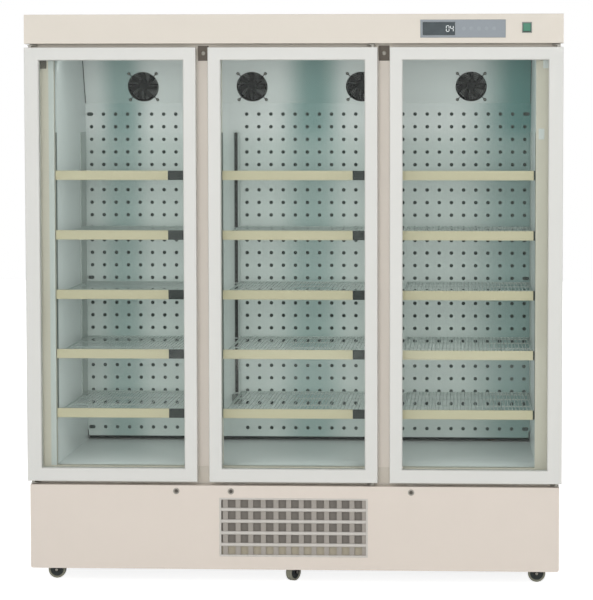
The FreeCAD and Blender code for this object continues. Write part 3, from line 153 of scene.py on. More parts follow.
FINISHES = {
    # Polyester powder coat on folded steel sheet. It gives wide soft highlights over a faint orange peel,
    # which is drawn at about twice its real size so that it shows.
    "powder_coat_header": ("header", 0.42, 0.0, 5.0, 0.025, 0.02),
    "powder_coat_case": ("case", 0.45, 0.0, 5.0, 0.03, 0.025),
    # Powder coat on extruded aluminium. It is smoother, with faint lines along the draw.
    "powder_coat_doors": ("doors", 0.34, 0.0, 3.0, 0.012, 0.015, (1, 1, 0.08)),
    # Painted jamb and mullion covers, a warmer cream, satin. The jamb's darker tone of the same paint is painted
    # shade.
    "painted_frame": ("EBE3D9", 0.4, 0.0, 4.0, 0.02, 0.03, (1, 1, 0.3)),
    "painted_jamb": ("DFD8CC", 0.4, 0.0, 4.0, 0.02, 0.03, (1, 1, 0.3)),
    # Galvanised strip on the walls, dulled by its lacquer, and the pale painted channels at the back.
    "lacquered_strip": ("6E7672", 0.42, 0.3, 6.0, 0.02, 0.1, (1, 1, 0.3)),
    "painted_channel": ("AAB2AF", 0.38, 0.0, 4.0, 0.02, 0.04, (1, 1, 0.3)),
    # Prepainted steel liner. It is rolled, so its faint waves run along the sheet.
    "prepainted_liner": ("liner", 0.33, 0.0, 9.0, 0.05, 0.035, (1, 1, 0.2)),
    # Polyurethane foam, open cut cells.
    "rigid_foam": ("E0D2A0", 0.95, 0.0, 1.5, 0.4, 0.08),
    # Glass-filled nylon or ABS, moulded, dark, with a fine spark-eroded grain.
    "moulded_dark": ("343A3A", 0.5, 0.0, 1.2, 0.03, 0.06),
    "moulded_cap": ("6E675E", 0.55, 0.0, 1.5, 0.03, 0.05),
    "moulded_fan": ("0C1010", 0.7, 0.0, 1.2, 0.03, 0.06),
    "moulded_bezel": ("848B86", 0.45, 0.0, 1.2, 0.02, 0.04),
    "moulded_white": ("E4E7E8", 0.4, 0.0, 1.5, 0.02, 0.02),
    # Silk-printed polyester membrane over the controller.
    "membrane_grey": ("92999F", 0.38, 0.0, 1.0, 0.01, 0.02),
    "membrane_key": ("989FA5", 0.34, 0.0, 1.0, 0.01, 0.02),
    # Polycarbonate rocker, tinted green, polished in the mould.
    "polycarbonate_green": ("4E8871", 0.16, 0.0, 6.0, 0.01, 0.05),
    # Polypropylene grille, matt, a little chalky. The set-back ribs' darker tone of the same plastic is painted shade.
    "moulded_grille": ("CBC7C1", 0.58, 0.0, 1.5, 0.03, 0.04),
    "moulded_rib": ("A39D96", 0.62, 0.0, 1.5, 0.03, 0.06),
    # Knitted nylon dust filter behind the grille, and the clean edge of it along the bottom.
    "filter_mesh": ("7C7771", 0.9, 0.0, 1.6, 0.25, 0.12),
    "filter_edge": ("ADA594", 0.85, 0.0, 1.6, 0.15, 0.08),
    # Painted shade behind the back panels: a near-black sheet along the foot of the air duct and a grey one higher up,
    # standing for the dark inside the duct.
    "duct_foam": ("232B2A", 0.95, 0.0, 2.0, 0.2, 0.1),
    "duct_felt": ("5C6664", 0.95, 0.0, 2.0, 0.2, 0.1),
    # Zinc-plated steel, with the cloudy sheen of a passivated coat.
    "zinc_plate": ("B9B6AE", 0.36, 0.9, 3.0, 0.02, 0.1),
    # Galvanised sheet. Its spangle is about 8 mm across.
    "galvanised_sheet": ("A6A9AA", 0.45, 0.8, 8.0, 0.02, 0.12),
    # Black electrophoretic paint over pressed steel.
    "black_paint": ("1B1C1D", 0.35, 0.0, 3.0, 0.02, 0.15),
    "chassis_paint": ("5B5E60", 0.5, 0.0, 3.0, 0.03, 0.08),
    # Mill-finish aluminium fin stock.
    "fin_stock": ("C4C7C9", 0.3, 0.95, 2.0, 0.01, 0.06, (1, 1, 0.1)),
    # Drawn copper tube, dulled and uneven from brazing heat.
    "drawn_copper": ("B8764E", 0.3, 1.0, 12.0, 0.02, 0.25),
    # Polyethylene dipped over steel wire: thick, soft and slightly wavy.
    "dipped_wire": ("A9B3B0", 0.4, 0.0, 6.0, 0.05, 0.03),
    # Extruded PVC price channel with a cream insert.
    "extruded_pvc": ("D5CCB0", 0.45, 0.0, 4.0, 0.02, 0.04, (0.05, 1, 1)),
    # Extruded thermoplastic elastomer of the door seals.
    "seal_elastomer": ("D3D2CE", 0.62, 0.0, 2.0, 0.03, 0.05),
    "seal_elastomer_dark": ("4A504E", 0.6, 0.0, 2.0, 0.03, 0.05),
    # Butyl and aluminium of the glass unit's spacer.
    "spacer_bar": ("8B9092", 0.4, 0.6, 2.0, 0.01, 0.05),
    # Nickel-plated zinc die casting of the locks.
    "nickel_plate": ("A8A39B", 0.34, 0.7, 2.0, 0.01, 0.12),
    "lock_core": ("6B665F", 0.4, 0.6, 2.0, 0.01, 0.12),
    # Near black in the uprights' hook slots: painted shade inside them.
    "key_slot": ("15130F", 0.6, 0.0, 1.0, 0.01, 0.0),
    # Pressed and painted fork of the casters.
    "fork_paint": ("2B2A29", 0.42, 0.3, 2.0, 0.03, 0.15),
    # Cast polyamide wheel, scuffed on its tread.
    "cast_nylon": ("9A9A8A", 0.5, 0.0, 3.0, 0.06, 0.14),
    # Black polypropylene of the pan and of the condenser's fan.
    "tray_plastic": ("26282A", 0.6, 0.0, 2.0, 0.05, 0.08),
}


def add(tree, kind, inputs=None, **settings):
    """Adds a node, sets its settings and inputs, and links the inputs that are given as sockets."""
    node = tree.nodes.new("ShaderNode" + kind)
    for name, value in settings.items():
        setattr(node, name, value)
    for key, value in (inputs or {}).items():
        if isinstance(value, NodeSocket):
            tree.links.new(value, node.inputs[key])
        else:
            node.inputs[key].default_value = value
    return node


def shade(colour, share=1.0):
    """A linear colour made darker or lighter by its share, with full opacity."""
    return (*np.clip(np.multiply(colour, share), 0, 1), 1.0)


def worked_surface(tree, at, name):
    """A solid surface: broad cloudy colour, fine grain in the relief and in the gloss."""
    colour, roughness, metallic, grain, relief, mottle, *squeeze = FINISHES[name]
    stretch = squeeze[0] if squeeze else (1, 1, 1)
    paint = bpy.context.scene.refrigerator_paint
    base = getattr(paint, colour) if hasattr(paint, colour) else linear(colour)
    along = add(tree, "Mapping", {"Vector": at, "Scale": stretch}).outputs[0]
    fine = add(tree, "TexNoise", {"Vector": along, "Scale": 1 / (grain * MM), "Detail": 3.0}).outputs[0]
    broad = add(tree, "TexNoise", {"Vector": along, "Scale": 7.0, "Detail": 4.0, "Roughness": 0.6}).outputs[0]
    cloudy = {0: broad, 6: shade(base, 1 - mottle), 7: shade(base, 1 + mottle)}
    colours = add(tree, "Mix", cloudy, data_type="RGBA").outputs[2]
    gloss = {"Value": fine, "From Min": 0.3, "From Max": 0.7}
    gloss.update({"To Min": roughness - 0.05, "To Max": roughness + 0.05})
    rough = add(tree, "MapRange", gloss).outputs[0]
    bump = add(tree, "Bump", {"Height": fine, "Distance": relief * MM, "Strength": 1.0}).outputs[0]
    surface = {"Base Color": colours, "Roughness": rough, "Metallic": metallic, "Normal": bump}
    return add(tree, "BsdfPrincipled", surface).outputs[0]


def insulated_glass(tree, at, name):
    """Low-iron double glazing: clear, with the faintest green. Its reflection is Schlick's: least face on, and
    rising with the fifth power of one less the cosine, the same from inside the pane as from outside."""
    smear = add(tree, "TexNoise", {"Vector": at, "Scale": 5.0, "Detail": 3.0}).outputs[0]
    rough = add(tree, "MapRange", {"Value": smear, "To Min": 0.01, "To Max": 0.06}).outputs[0]
    clear = add(tree, "BsdfTransparent", {"Color": shade(linear("FDFEFD"))}).outputs[0]
    shine = add(tree, "BsdfGlossy", {"Color": (0.95, 0.95, 0.95, 1.0), "Roughness": rough}).outputs[0]
    facing = add(tree, "LayerWeight", {"Blend": 0.5}).outputs["Facing"]
    share = add(tree, "Math", {0: facing, 1: 5.0}, operation="POWER").outputs[0]
    share = add(tree, "MapRange", {"Value": share, "To Min": 0.009, "To Max": 0.6}).outputs[0]
    return add(tree, "MixShader", {0: share, 1: clear, 2: shine}).outputs[0]


# Painted reflections on the back panels: each dark band's middle and its half-width in metres, and how much
PAINTED_REFLECTION_BANDS = {
    "perforated_sheet": [(-0.7, 0.13, 0.38), (0.02, 0.17, 0.42), (0.82, 0.28, 0.5)],
    "slanted_sheet": [(-0.7, 0.13, 0.34), (0.03, 0.16, 0.42), (0.82, 0.24, 0.5)],
}


def banded_sheet(tree, at, name):
    """Coated back panels: satin, with soft upright dark bands that are painted reflections. Above 1.5 m it is paler,
    which is painted light, and more strongly banded."""
    base = bpy.context.scene.refrigerator_paint.back_panels
    split = add(tree, "SeparateXYZ", {"Vector": at})
    x = split.outputs["X"]
    rise = {"Value": split.outputs["Z"], "From Min": 1.5, "From Max": 1.64}
    rise = add(tree, "MapRange", rise, interpolation_type="SMOOTHERSTEP").outputs[0]
    depth = 0.0
    for centre, reach, most in PAINTED_REFLECTION_BANDS[name]:
        away = add(tree, "Math", {0: x, 1: centre}, operation="SUBTRACT").outputs[0]
        away = add(tree, "Math", {0: away}, operation="ABSOLUTE").outputs[0]
        band = {"Value": away, "From Min": reach, "From Max": 0.0, "To Min": 0.0, "To Max": most}
        band = add(tree, "MapRange", band, interpolation_type="SMOOTHERSTEP").outputs[0]
        depth = add(tree, "Math", {0: depth, 1: band}, operation="ADD").outputs[0]
    wave = add(tree, "Mapping", {"Vector": at, "Scale": (6.0, 6.0, 1.2)}).outputs[0]
    broad = add(tree, "TexNoise", {"Vector": wave, "Scale": 1.0, "Detail": 3.0}).outputs[0]
    cloudy = {0: broad, 6: shade(base, 0.93), 7: shade(base, 1.06)}
    plain = add(tree, "Mix", cloudy, data_type="RGBA").outputs[2]
    # Painted light: the panel is paler towards the top
    pale = {0: rise, 6: plain, 7: shade(base, (1.27, 1.2, 1.23))}
    plain = add(tree, "Mix", pale, data_type="RGBA").outputs[2]
    strength = add(tree, "MapRange", {"Value": rise, "To Min": 1.0, "To Max": 1.65}).outputs[0]
    depth = add(tree, "Math", {0: depth, 1: strength}, operation="MULTIPLY", use_clamp=True).outputs[0]
    # Painted reflections: the dark teal bands, stronger towards the top
    reflection_shade = {0: depth, 6: plain, 7: shade(base, (0.0, 0.28, 0.26))}
    banded = add(tree, "Mix", reflection_shade, data_type="RGBA").outputs[2]
    fine = add(tree, "TexNoise", {"Vector": at, "Scale": 250.0, "Detail": 3.0}).outputs[0]
    rough = add(tree, "MapRange", {"Value": fine, "To Min": 0.3, "To Max": 0.44}).outputs[0]
    bump = add(tree, "Bump", {"Height": fine, "Distance": 0.03 * MM, "Strength": 1.0}).outputs[0]
    return add(tree, "BsdfPrincipled", {"Base Color": banded, "Roughness": rough, "Normal": bump}).outputs[0]


def display_window(tree, at, name):
    """Smoked acrylic over the display: near black with a blue-green cast, polished."""
    cloud = add(tree, "TexNoise", {"Vector": at, "Scale": 30.0, "Detail": 2.0}).outputs[0]
    smoked = {0: cloud, 6: shade(linear("343C40")), 7: shade(linear("4F5A5E"))}
    colour = add(tree, "Mix", smoked, data_type="RGBA").outputs[2]
    return add(tree, "BsdfPrincipled", {"Base Color": colour, "Roughness": 0.12}).outputs[0]


def lit_segment(tree, at, name):
    """A lit segment of the display, pale and even."""
    cloud = add(tree, "TexNoise", {"Vector": at, "Scale": 300.0}).outputs[0]
    level = add(tree, "MapRange", {"Value": cloud, "To Min": 0.2, "To Max": 0.4}).outputs[0]
    glow = {"Emission Color": shade(linear("DDE3E3")), "Emission Strength": level}
    surface = {"Base Color": shade(linear("BFC4C4")), "Roughness": 0.3, **glow}
    return add(tree, "BsdfPrincipled", surface).outputs[0]


def pale_floor(tree, at, name):
    """A plain studio floor: its base colour, lifted almost to white for the camera alone, so that it keeps a faint
    shadow."""
    seen = add(tree, "LightPath").outputs["Is Camera Ray"]
    glow = add(tree, "Math", {0: seen, 1: 0.85}, operation="MULTIPLY").outputs[0]
    surface = {"Base Color": shade(bpy.context.scene.refrigerator_stage.floor_colour), "Roughness": 0.7}
    surface.update({"Emission Color": (1, 1, 1, 1), "Emission Strength": glow})
    return add(tree, "BsdfPrincipled", surface).outputs[0]


SPECIAL = {
    "insulated_glass": insulated_glass,
    "perforated_sheet": banded_sheet,
    "slanted_sheet": banded_sheet,
    "display_window": display_window,
    "lit_segment": lit_segment,
    "pale_floor": pale_floor,
}


def finish(name):
    """The material of that name, made the first time it is asked for."""
    if name not in bpy.data.materials:
        material = bpy.data.materials.new(name)
        material.use_nodes = True
        tree = material.node_tree
        tree.nodes.clear()
        at = add(tree, "TexCoord").outputs["Object"]
        surface = SPECIAL.get(name, worked_surface)(tree, at, name)
        add(tree, "OutputMaterial", {"Surface": surface})
    return bpy.data.materials[name]


# Shapes. Each gives (points, faces): points is (n, 3) in metres, faces a list of arrays of corner numbers


def quads(rows, columns, wrap_rows=False, wrap_columns=False):
    """The faces of a grid of points numbered row by row. A wrapped side joins its last to its first."""
    r = np.arange(rows if wrap_rows else rows - 1)[:, None]
    c = np.arange(columns if wrap_columns else columns - 1)[None, :]
    after_r, after_c = (r + 1) % rows, (c + 1) % columns
    corners = [r * columns + c, r * columns + after_c, after_r * columns + after_c, after_r * columns + c]
    return np.stack(np.broadcast_arrays(*corners), -1).reshape(-1, 4)


def capped(rows, columns):
    """The faces of a tube whose rings are the rows, closed by a flat face at each end."""
    ring = np.arange(columns)[None]
    return [quads(rows, columns, wrap_columns=True), ring[:, ::-1], ring + (rows - 1) * columns]


def xyz(x, y, z):
    """Points from their coordinates, each an array or one number for all of them."""
    return np.stack(np.broadcast_arrays(x, y, z), -1).astype(float)


def repeated(points, faces):
    """Many like shapes, points (count, n, 3), as one: each copy's corner numbers start where the last ended."""
    count, size = points.shape[:2]
    starts = np.arange(count)[:, None, None] * size
    return points.reshape(-1, 3), [(starts + f[None]).reshape(-1, f.shape[1]) for f in faces]


def joined(*shapes):
    """Several shapes as one."""
    points, faces, start = [], [], 0
    for some_points, some_faces in shapes:
        points.append(some_points)
        faces += [f + start for f in some_faces]
        start += len(some_points)
    return np.concatenate(points), faces


def boxes(low, high):
    """Boxes between arrays of low and high corners: each corner takes low or high along each axis."""
    low, high = np.broadcast_arrays(np.reshape(low, (-1, 3)), np.reshape(high, (-1, 3)))
    pick = np.array([[n >> 2 & 1, n >> 1 & 1, n & 1] for n in range(8)])
    points = np.where(pick[None] == 1, high[:, None], low[:, None])
    faces = np.array([[0, 1, 3, 2], [4, 6, 7, 5], [0, 4, 5, 1], [2, 3, 7, 6], [0, 2, 6, 4], [1, 5, 7, 3]])
    return repeated(points, [faces])


def across(axis):
    """Two unit directions at right angles to each axis of an (n, 3) array, and to each other."""
    upright = np.abs(axis[:, 2:3]) > 0.9
    helper = np.where(upright, np.array([[1.0, 0, 0]]), np.array([[0, 0, 1.0]]))
    u = np.cross(axis, helper)
    u /= np.linalg.norm(u, axis=1, keepdims=True)
    return u, np.cross(axis, u)


def bars(start, end, radius, sides=8):
    """Straight round bars: end rings at start and end, each point centre + radius (cos a u + sin a v)."""
    start, end = np.broadcast_arrays(np.atleast_2d(start), np.atleast_2d(end))
    axis = (end - start) / np.linalg.norm(end - start, axis=1, keepdims=True)
    u, v = across(axis)
    a = np.arange(sides) * 2 * pi / sides
    ring = radius * (np.cos(a)[None, :, None] * u[:, None] + np.sin(a)[None, :, None] * v[:, None])
    return repeated(np.concatenate([start[:, None] + ring, end[:, None] + ring], 1), capped(2, sides))


def turned(profile, centre, axis, sides=48, loop=False):
    """A profile of (radius, height) turned about an axis: centre + height axis + radius (cos a u + sin a v)."""
    profile, axis = np.asarray(profile, float), np.atleast_2d(np.asarray(axis, float))
    axis = axis / np.linalg.norm(axis)
    u, v = across(axis)
    a = np.arange(sides) * 2 * pi / sides
    spoke = np.cos(a)[:, None] * u + np.sin(a)[:, None] * v
    points = np.asarray(centre) + profile[:, 1, None, None] * axis[0] + profile[:, 0, None, None] * spoke[None]
    return points.reshape(-1, 3), [quads(len(profile), sides, wrap_rows=loop, wrap_columns=True)]


def ring_wire(radius, wire, centre, axis, sides=48, facets=8):
    """A ring of round wire: the wire's circle, at radius from the axis, turned about it."""
    a = np.arange(facets) * 2 * pi / facets
    profile = np.stack([radius + wire * np.cos(a), wire * np.sin(a)], 1)
    return turned(profile, centre, axis, sides, loop=True)


def carried(outline, x0, x1):
    """A closed (y, z) outline carried from each x0 to each x1, with flat ends. It may be one for each x0."""
    outline = np.asarray(outline, float)
    outline = outline.reshape(-1, *outline.shape[-2:])
    count, corner_count = max(len(outline), np.size(x0)), outline.shape[1]
    points = np.empty((count, 2, corner_count, 3))
    points[:, 0, :, 0] = np.reshape(x0, (-1, 1))
    points[:, 1, :, 0] = np.reshape(x1, (-1, 1))
    points[..., 1:] = outline[:, None]
    return repeated(points.reshape(count, -1, 3), capped(2, corner_count))


def framed(profile, x0, x1, z0, z1):
    """A closed profile of (inset, y) carried round a rectangle: at each corner the inset runs both ways, so the
    corners are mitred."""
    profile = np.asarray(profile, float)
    corner = np.array([[x0, z0], [x1, z0], [x1, z1], [x0, z1]])
    inward = np.array([[1, 1], [-1, 1], [-1, -1], [1, -1]])
    places = corner[:, None] + inward[:, None] * profile[None, :, :1]
    points = xyz(places[..., 0], profile[:, 1], places[..., 1])
    return points.reshape(-1, 3), [quads(4, len(profile), wrap_rows=True, wrap_columns=True)]


def pierced(edges, centres, radius, sides, thick, origin, right, up, back, slots=None):
    """A plate with round holes. Each hole has its own cell of the plate, and each of its points is joined to the
    point on the cell's border that it faces; the same at the back, with the hole's wall between them.
    edges and centres are (along right, along up) pairs of arrays. slots, if given, holds for each row and column
    how far the hole's side is drawn out along right, to the left where it's negative."""
    turn = np.arange(sides) * 2 * pi / sides + pi / 4
    share = np.arange(sides) * 4 / sides
    corner = np.array([[1, 1], [0, 1], [0, 0], [1, 0], [1, 1]], float)
    side = share.astype(int)
    border = corner[side] + (corner[side + 1] - corner[side]) * (share - side)[:, None]
    a0, a1 = edges[0][:-1][None, :, None], edges[0][1:][None, :, None]
    b0, b1 = edges[1][:-1][:, None, None], edges[1][1:][:, None, None]
    drawn = 0 if slots is None else np.where(np.sign(slots)[..., None] == np.sign(np.cos(turn)), slots[..., None], 0)
    a_rim = centres[0][None, :, None] + radius * np.cos(turn) + drawn
    b_rim = centres[1][:, None, None] + radius * np.sin(turn)
    a_out, b_out, a_rim, b_rim = np.broadcast_arrays(
        a0 + (a1 - a0) * border[:, 0], b0 + (b1 - b0) * border[:, 1], a_rim, b_rim
    )
    a = np.stack([a_out, a_rim, a_rim, a_out], 2)[..., None]
    b = np.stack([b_out, b_rim, b_rim, b_out], 2)[..., None]
    depth = np.array([0, 0, thick, thick])[None, None, :, None, None]
    origin, right, up, back = (np.asarray(v, float) for v in (origin, right, up, back))
    points = origin + a * right + b * up + depth * back
    return repeated(points.reshape(-1, 4 * sides, 3), [quads(4, sides, wrap_columns=True)])


def bladed(hub, tip, depth, count, centre, axis):
    """Fan blades. Across a blade t runs from edge to edge and down its length s from hub to tip: the height
    is chord t sin pitch plus a camber, the angle chord t cos pitch over the radius plus a sweep, and the skin
    stands off both faces, thin at its edges."""
    stations, around = 9, 20
    s = np.linspace(0, 1, stations)[:, None]
    w = np.arange(around)[None, :] * 2 * pi / around
    t = 0.5 * np.cos(w)
    root = hub * 0.92
    radius = root + (tip - root) * s
    pitch = np.radians(42 - 16 * s)
    chord = 0.9 * depth / np.sin(pitch) * (0.82 + 0.18 * s)
    camber, sweep, skin = 0.06 * depth * (1 - 4 * t**2), 0.35 * s, 0.055 * depth * np.sin(w)
    height = chord * t * np.sin(pitch) + camber + skin
    angle = chord * t * np.cos(pitch) / radius + sweep
    turn = angle[None] + np.arange(count)[:, None, None] * 2 * pi / count
    axis = np.atleast_2d(np.asarray(axis, float))
    u, v = across(axis)
    points = radius[None, ..., None] * (np.cos(turn)[..., None] * u + np.sin(turn)[..., None] * v)
    points = points + np.asarray(centre) + height[None, ..., None] * axis[0]
    return repeated(points.reshape(count, -1, 3), capped(stations, around))


def rounded(path, bend, steps):
    """A path with each corner turned on a short curve: (1 - t)^2 enter + 2 t (1 - t) corner + t^2 leave."""
    path = np.asarray(path, float)
    t = np.linspace(0, 1, steps)[:, None]
    points = [path[:1]]
    for before, corner, after in zip(path, path[1:], path[2:]):
        enter = corner + (before - corner) / np.linalg.norm(before - corner) * bend
        leave = corner + (after - corner) / np.linalg.norm(after - corner) * bend
        points.append((1 - t) ** 2 * enter + 2 * t * (1 - t) * corner + t**2 * leave)
    return np.concatenate(points + [path[-1:]])


# Making the objects


def finished(name, mesh, looks, body="root", stands_for=None, angle=35.0):
    """The mesh as a piece of the object, shaded smooth up to an angle, on its body. It takes the place of the CAD node
    that it stands for, which it hides, or is an addition."""
    mesh.shade_smooth()
    mesh.set_sharp_from_angle(angle=radians(angle))
    piece = bpy.data.objects.new(name, mesh)
    bpy.context.scene.collection.objects.link(piece)
    for look in [looks] if isinstance(looks, str) else looks:
        mesh.materials.append(finish(look))
    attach(piece, body)
    if stands_for:
        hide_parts(stands_for)
    return piece


def made(name, shapes, looks, body="root", stands_for=None, sheet=0.0):
    """A piece from one shape, or from a list of shapes, each with the look in the same place. An open shape is
    given the thickness of a sheet, inwards."""
    shapes = shapes if isinstance(shapes, list) else [shapes]
    points, faces = joined(*shapes)
    mesh = bpy.data.meshes.new(name)
    mesh.from_pydata(points, [], [row for f in faces for row in f.tolist()])
    owner = np.repeat(np.arange(len(shapes)), [sum(len(f) for f in s[1]) for s in shapes])
    mesh.polygons.foreach_set("material_index", owner)
    shell = bmesh.new()
    shell.from_mesh(mesh)
    bmesh.ops.remove_doubles(shell, verts=shell.verts, dist=1e-6)
    bmesh.ops.dissolve_degenerate(shell, edges=shell.edges, dist=1e-7)
    bmesh.ops.recalc_face_normals(shell, faces=shell.faces)
    if sheet:
        bmesh.ops.solidify(shell, geom=shell.faces[:], thickness=sheet)
        bmesh.ops.recalc_face_normals(shell, faces=shell.faces)
    shell.to_mesh(mesh)
    shell.free()
    return finished(name, mesh, looks, body, stands_for)


def eased(name, node, look, width, body="root"):
    """A welded copy of a CAD node with its flat faces made whole and its edges rounded."""
    source = frame["nodes"][node].data
    points = np.empty(len(source.vertices) * 3)
    source.vertices.foreach_get("co", points)
    triangles = np.empty(len(source.loops), int)
    source.loops.foreach_get("vertex_index", triangles)
    mesh = bpy.data.meshes.new(name)
    mesh.from_pydata(points.reshape(-1, 3), [], triangles.reshape(-1, 3).tolist())
    shell = bmesh.new()
    shell.from_mesh(mesh)
    bmesh.ops.remove_doubles(shell, verts=shell.verts, dist=2e-5)
    bmesh.ops.dissolve_limit(shell, angle_limit=radians(0.5), verts=shell.verts, edges=shell.edges)
    shell.to_mesh(mesh)
    shell.free()
    piece = finished(name, mesh, look, body, stands_for=node, angle=30.0)
    round_off(piece, width, bpy.context.scene.refrigerator_edges.steps).harden_normals = True
    return piece


def round_off(piece, width, steps):
    """Rounds the edges at which a piece turns by more than 30 degrees."""
    rounds = piece.modifiers.new("rounded_edges", "BEVEL")
    rounds.width, rounds.segments = width, steps
    rounds.limit_method = "ANGLE"
    rounds.angle_limit = radians(30)
    return rounds


def repaint(piece, look, axis, limit):
    """Gives a second look to the faces of a piece whose middles lie past a limit along an axis."""
    middles = np.empty(len(piece.data.polygons) * 3)
    piece.data.polygons.foreach_get("center", middles)
    piece.data.materials.append(finish(look))
    piece.data.polygons.foreach_set("material_index", (middles[axis::3] > limit).astype(int))


def pivot(body):
    """The point that a body turns about, and its axis, as arrays."""
    return np.array(JOINTS[body]["pos_m"]), np.array(JOINTS[body]["axis"])


def corners(node):
    """A CAD node's low and high corner as arrays."""
    low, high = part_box(node)
    return np.array(low), np.array(high)


# The lamps: place in metres, turn in degrees, width and height in metres, and the value that holds the power
LAMPS = [
    ("key_lamp", (-4.2, -6.5, 4.6), (62, 0, -34), (3.6, 3.0), "key_power"),
    ("fill_lamp", (4.8, -5.6, 3.4), (68, 0, 42), (3.0, 3.0), "fill_power"),
    ("front_lamp", (0.0, -8.6, 1.9), (86, 0, 0), (3.2, 2.0), "front_power"),
]
BAY_LAMPS = [
    ("cavity_lamp_", (-0.35, 1.1), (90, 0, 0), (0.42, 1.36), "cavity_power"),
    ("ceiling_lamp_", (-0.3, 1.84), (30, 0, 0), (0.44, 0.06), "ceiling_power"),
]
for bay_side, bay_x in zip(SIDES, (-0.61, 0.0, 0.61)):
    LAMPS += [(name + bay_side, (bay_x, *place), *rest) for name, place, *rest in BAY_LAMPS]


# Operators


class REFRIGERATOR_OT_stage(Operator):
    """The floor, the room's light, the lamps and the camera at the photograph's place"""

    bl_idname = "refrigerator.stage"
    bl_label = "Stage"

    def execute(self, context):
        values = context.scene.refrigerator_stage
        context.scene.view_settings.view_transform = "Standard"
        self.room(context, values)
        self.floor(context)
        for name, place, turn, size, power in LAMPS:
            light = bpy.data.lights.new(name, "AREA")
            light.shape = "RECTANGLE"
            light.size, light.size_y = size
            light.energy = getattr(values, power)
            holder = bpy.data.objects.new(name, light)
            holder.location = place
            holder.rotation_euler = [radians(a) for a in turn]
            holder.visible_glossy = name in ("key_lamp", "fill_lamp")
            holder.visible_camera = False
            context.scene.collection.objects.link(holder)
        self.camera(context, values)
        return {"FINISHED"}

    def room(self, context, values):
        """An even light, seen as white by the camera and in reflections and glass."""
        world = bpy.data.worlds.new("studio")
        world.use_nodes = True
        tree = world.node_tree
        tree.nodes.clear()
        path = add(tree, "LightPath").outputs
        seen = path["Is Camera Ray"]
        for ray in ("Is Glossy Ray", "Is Transmission Ray"):
            seen = add(tree, "Math", {0: seen, 1: path[ray]}, operation="MAXIMUM").outputs[0]
        even = add(tree, "Background", {"Color": (1, 1, 1, 1), "Strength": values.studio_level}).outputs[0]
        white = add(tree, "Background", {"Color": (1, 1, 1, 1), "Strength": 1.0}).outputs[0]
        both = add(tree, "MixShader", {0: seen, 1: even, 2: white}).outputs[0]
        add(tree, "OutputWorld", {"Surface": both})
        context.scene.world = world

    def floor(self, context):
        """A square floor under the casters."""
        half = 14.0
        edge = np.array([(-half, -half, 0), (half, -half, 0), (half, half, 0), (-half, half, 0)])
        mesh = bpy.data.meshes.new("studio_floor")
        mesh.from_pydata(edge, [], [(0, 1, 2, 3)])
        mesh.materials.append(finish("pale_floor"))
        floor = bpy.data.objects.new("studio_floor", mesh)
        context.scene.collection.objects.link(floor)

    def camera(self, context, values):
        """The camera, placed and shifted as the photograph's perspective and framing ask."""
        camera = bpy.data.cameras.new("camera")
        camera.lens = values.lens
        camera.sensor_width = 36.0
        camera.shift_x, camera.shift_y = -0.14, -0.10
        camera.clip_end = 100.0
        holder = bpy.data.objects.new("camera", camera)
        holder.location = (0.597, -7.716, 1.610)
        holder.rotation_euler = (radians(90 - 3.11), 0.0, radians(2.30))
        context.scene.collection.objects.link(holder)
        context.scene.camera = holder


class REFRIGERATOR_OT_case(Operator):
    """Outer sheets, liner, front frame, mullions and their caps"""

    bl_idname = "refrigerator.case"
    bl_label = "Case"

    def execute(self, context):
        edges = context.scene.refrigerator_edges
        for node in ("side_panels", "rear_panel", "top_panel"):
            eased("outer_" + node, node, "powder_coat_case", edges.sheet)
        eased("foam_body", "insulation", "rigid_foam", edges.sheet)
        eased("cavity_liner", "liner", "prepainted_liner", edges.sheet)
        eased("opening_frame", "front_frame", "painted_jamb", edges.sheet)
        eased("mullion_covers", "mullion_posts", "painted_frame", edges.plastic)
        self.breaker()
        self.caps(edges)
        return {"FINISHED"}

    def breaker(self):
        """The thin strip on the left jamb that hides the liner's edge, in the liner's colour."""
        face = corners("front_frame")[0][1]
        low, high = corners("liner")
        left, right, short = -861 * MM, -842 * MM, 4 * MM
        strip = boxes((left, face - 0.3 * MM, low[2] + short), (right, face + 0.4 * MM, high[2] - short))
        made("breaker_strip", strip, "prepainted_liner")

    def caps(self, edges):
        """The caps at the tops of the frame's members. The mullions' have a screw, the right jamb's is white and
        has a plug of the same plastic lower down."""
        low, high = corners("frame_caps")
        caps = eased("frame_end_caps", "frame_caps", "moulded_cap", edges.plastic)
        repaint(caps, "moulded_white", 0, high[0] - 60 * MM)
        screw = np.array([(0, 1.6), (3.4, 1.5), (6.2, 0.9), (7.4, 0)]) * MM
        x, z = corners("mullion_posts")[1][0] - 59 * MM, high[2] - 26 * MM
        screws = [turned(screw, (way * x, low[1], z), (0, -1, 0), 24) for way in (-1, 1)]
        made("cap_screws", joined(*screws), "zinc_plate")
        plug = boxes((0.852, high[1] - 2.5 * MM, 1.562), (0.872, high[1] + 0.2 * MM, 1.6))
        round_off(made("jamb_plug", plug, "moulded_white"), 1 * MM, 3)


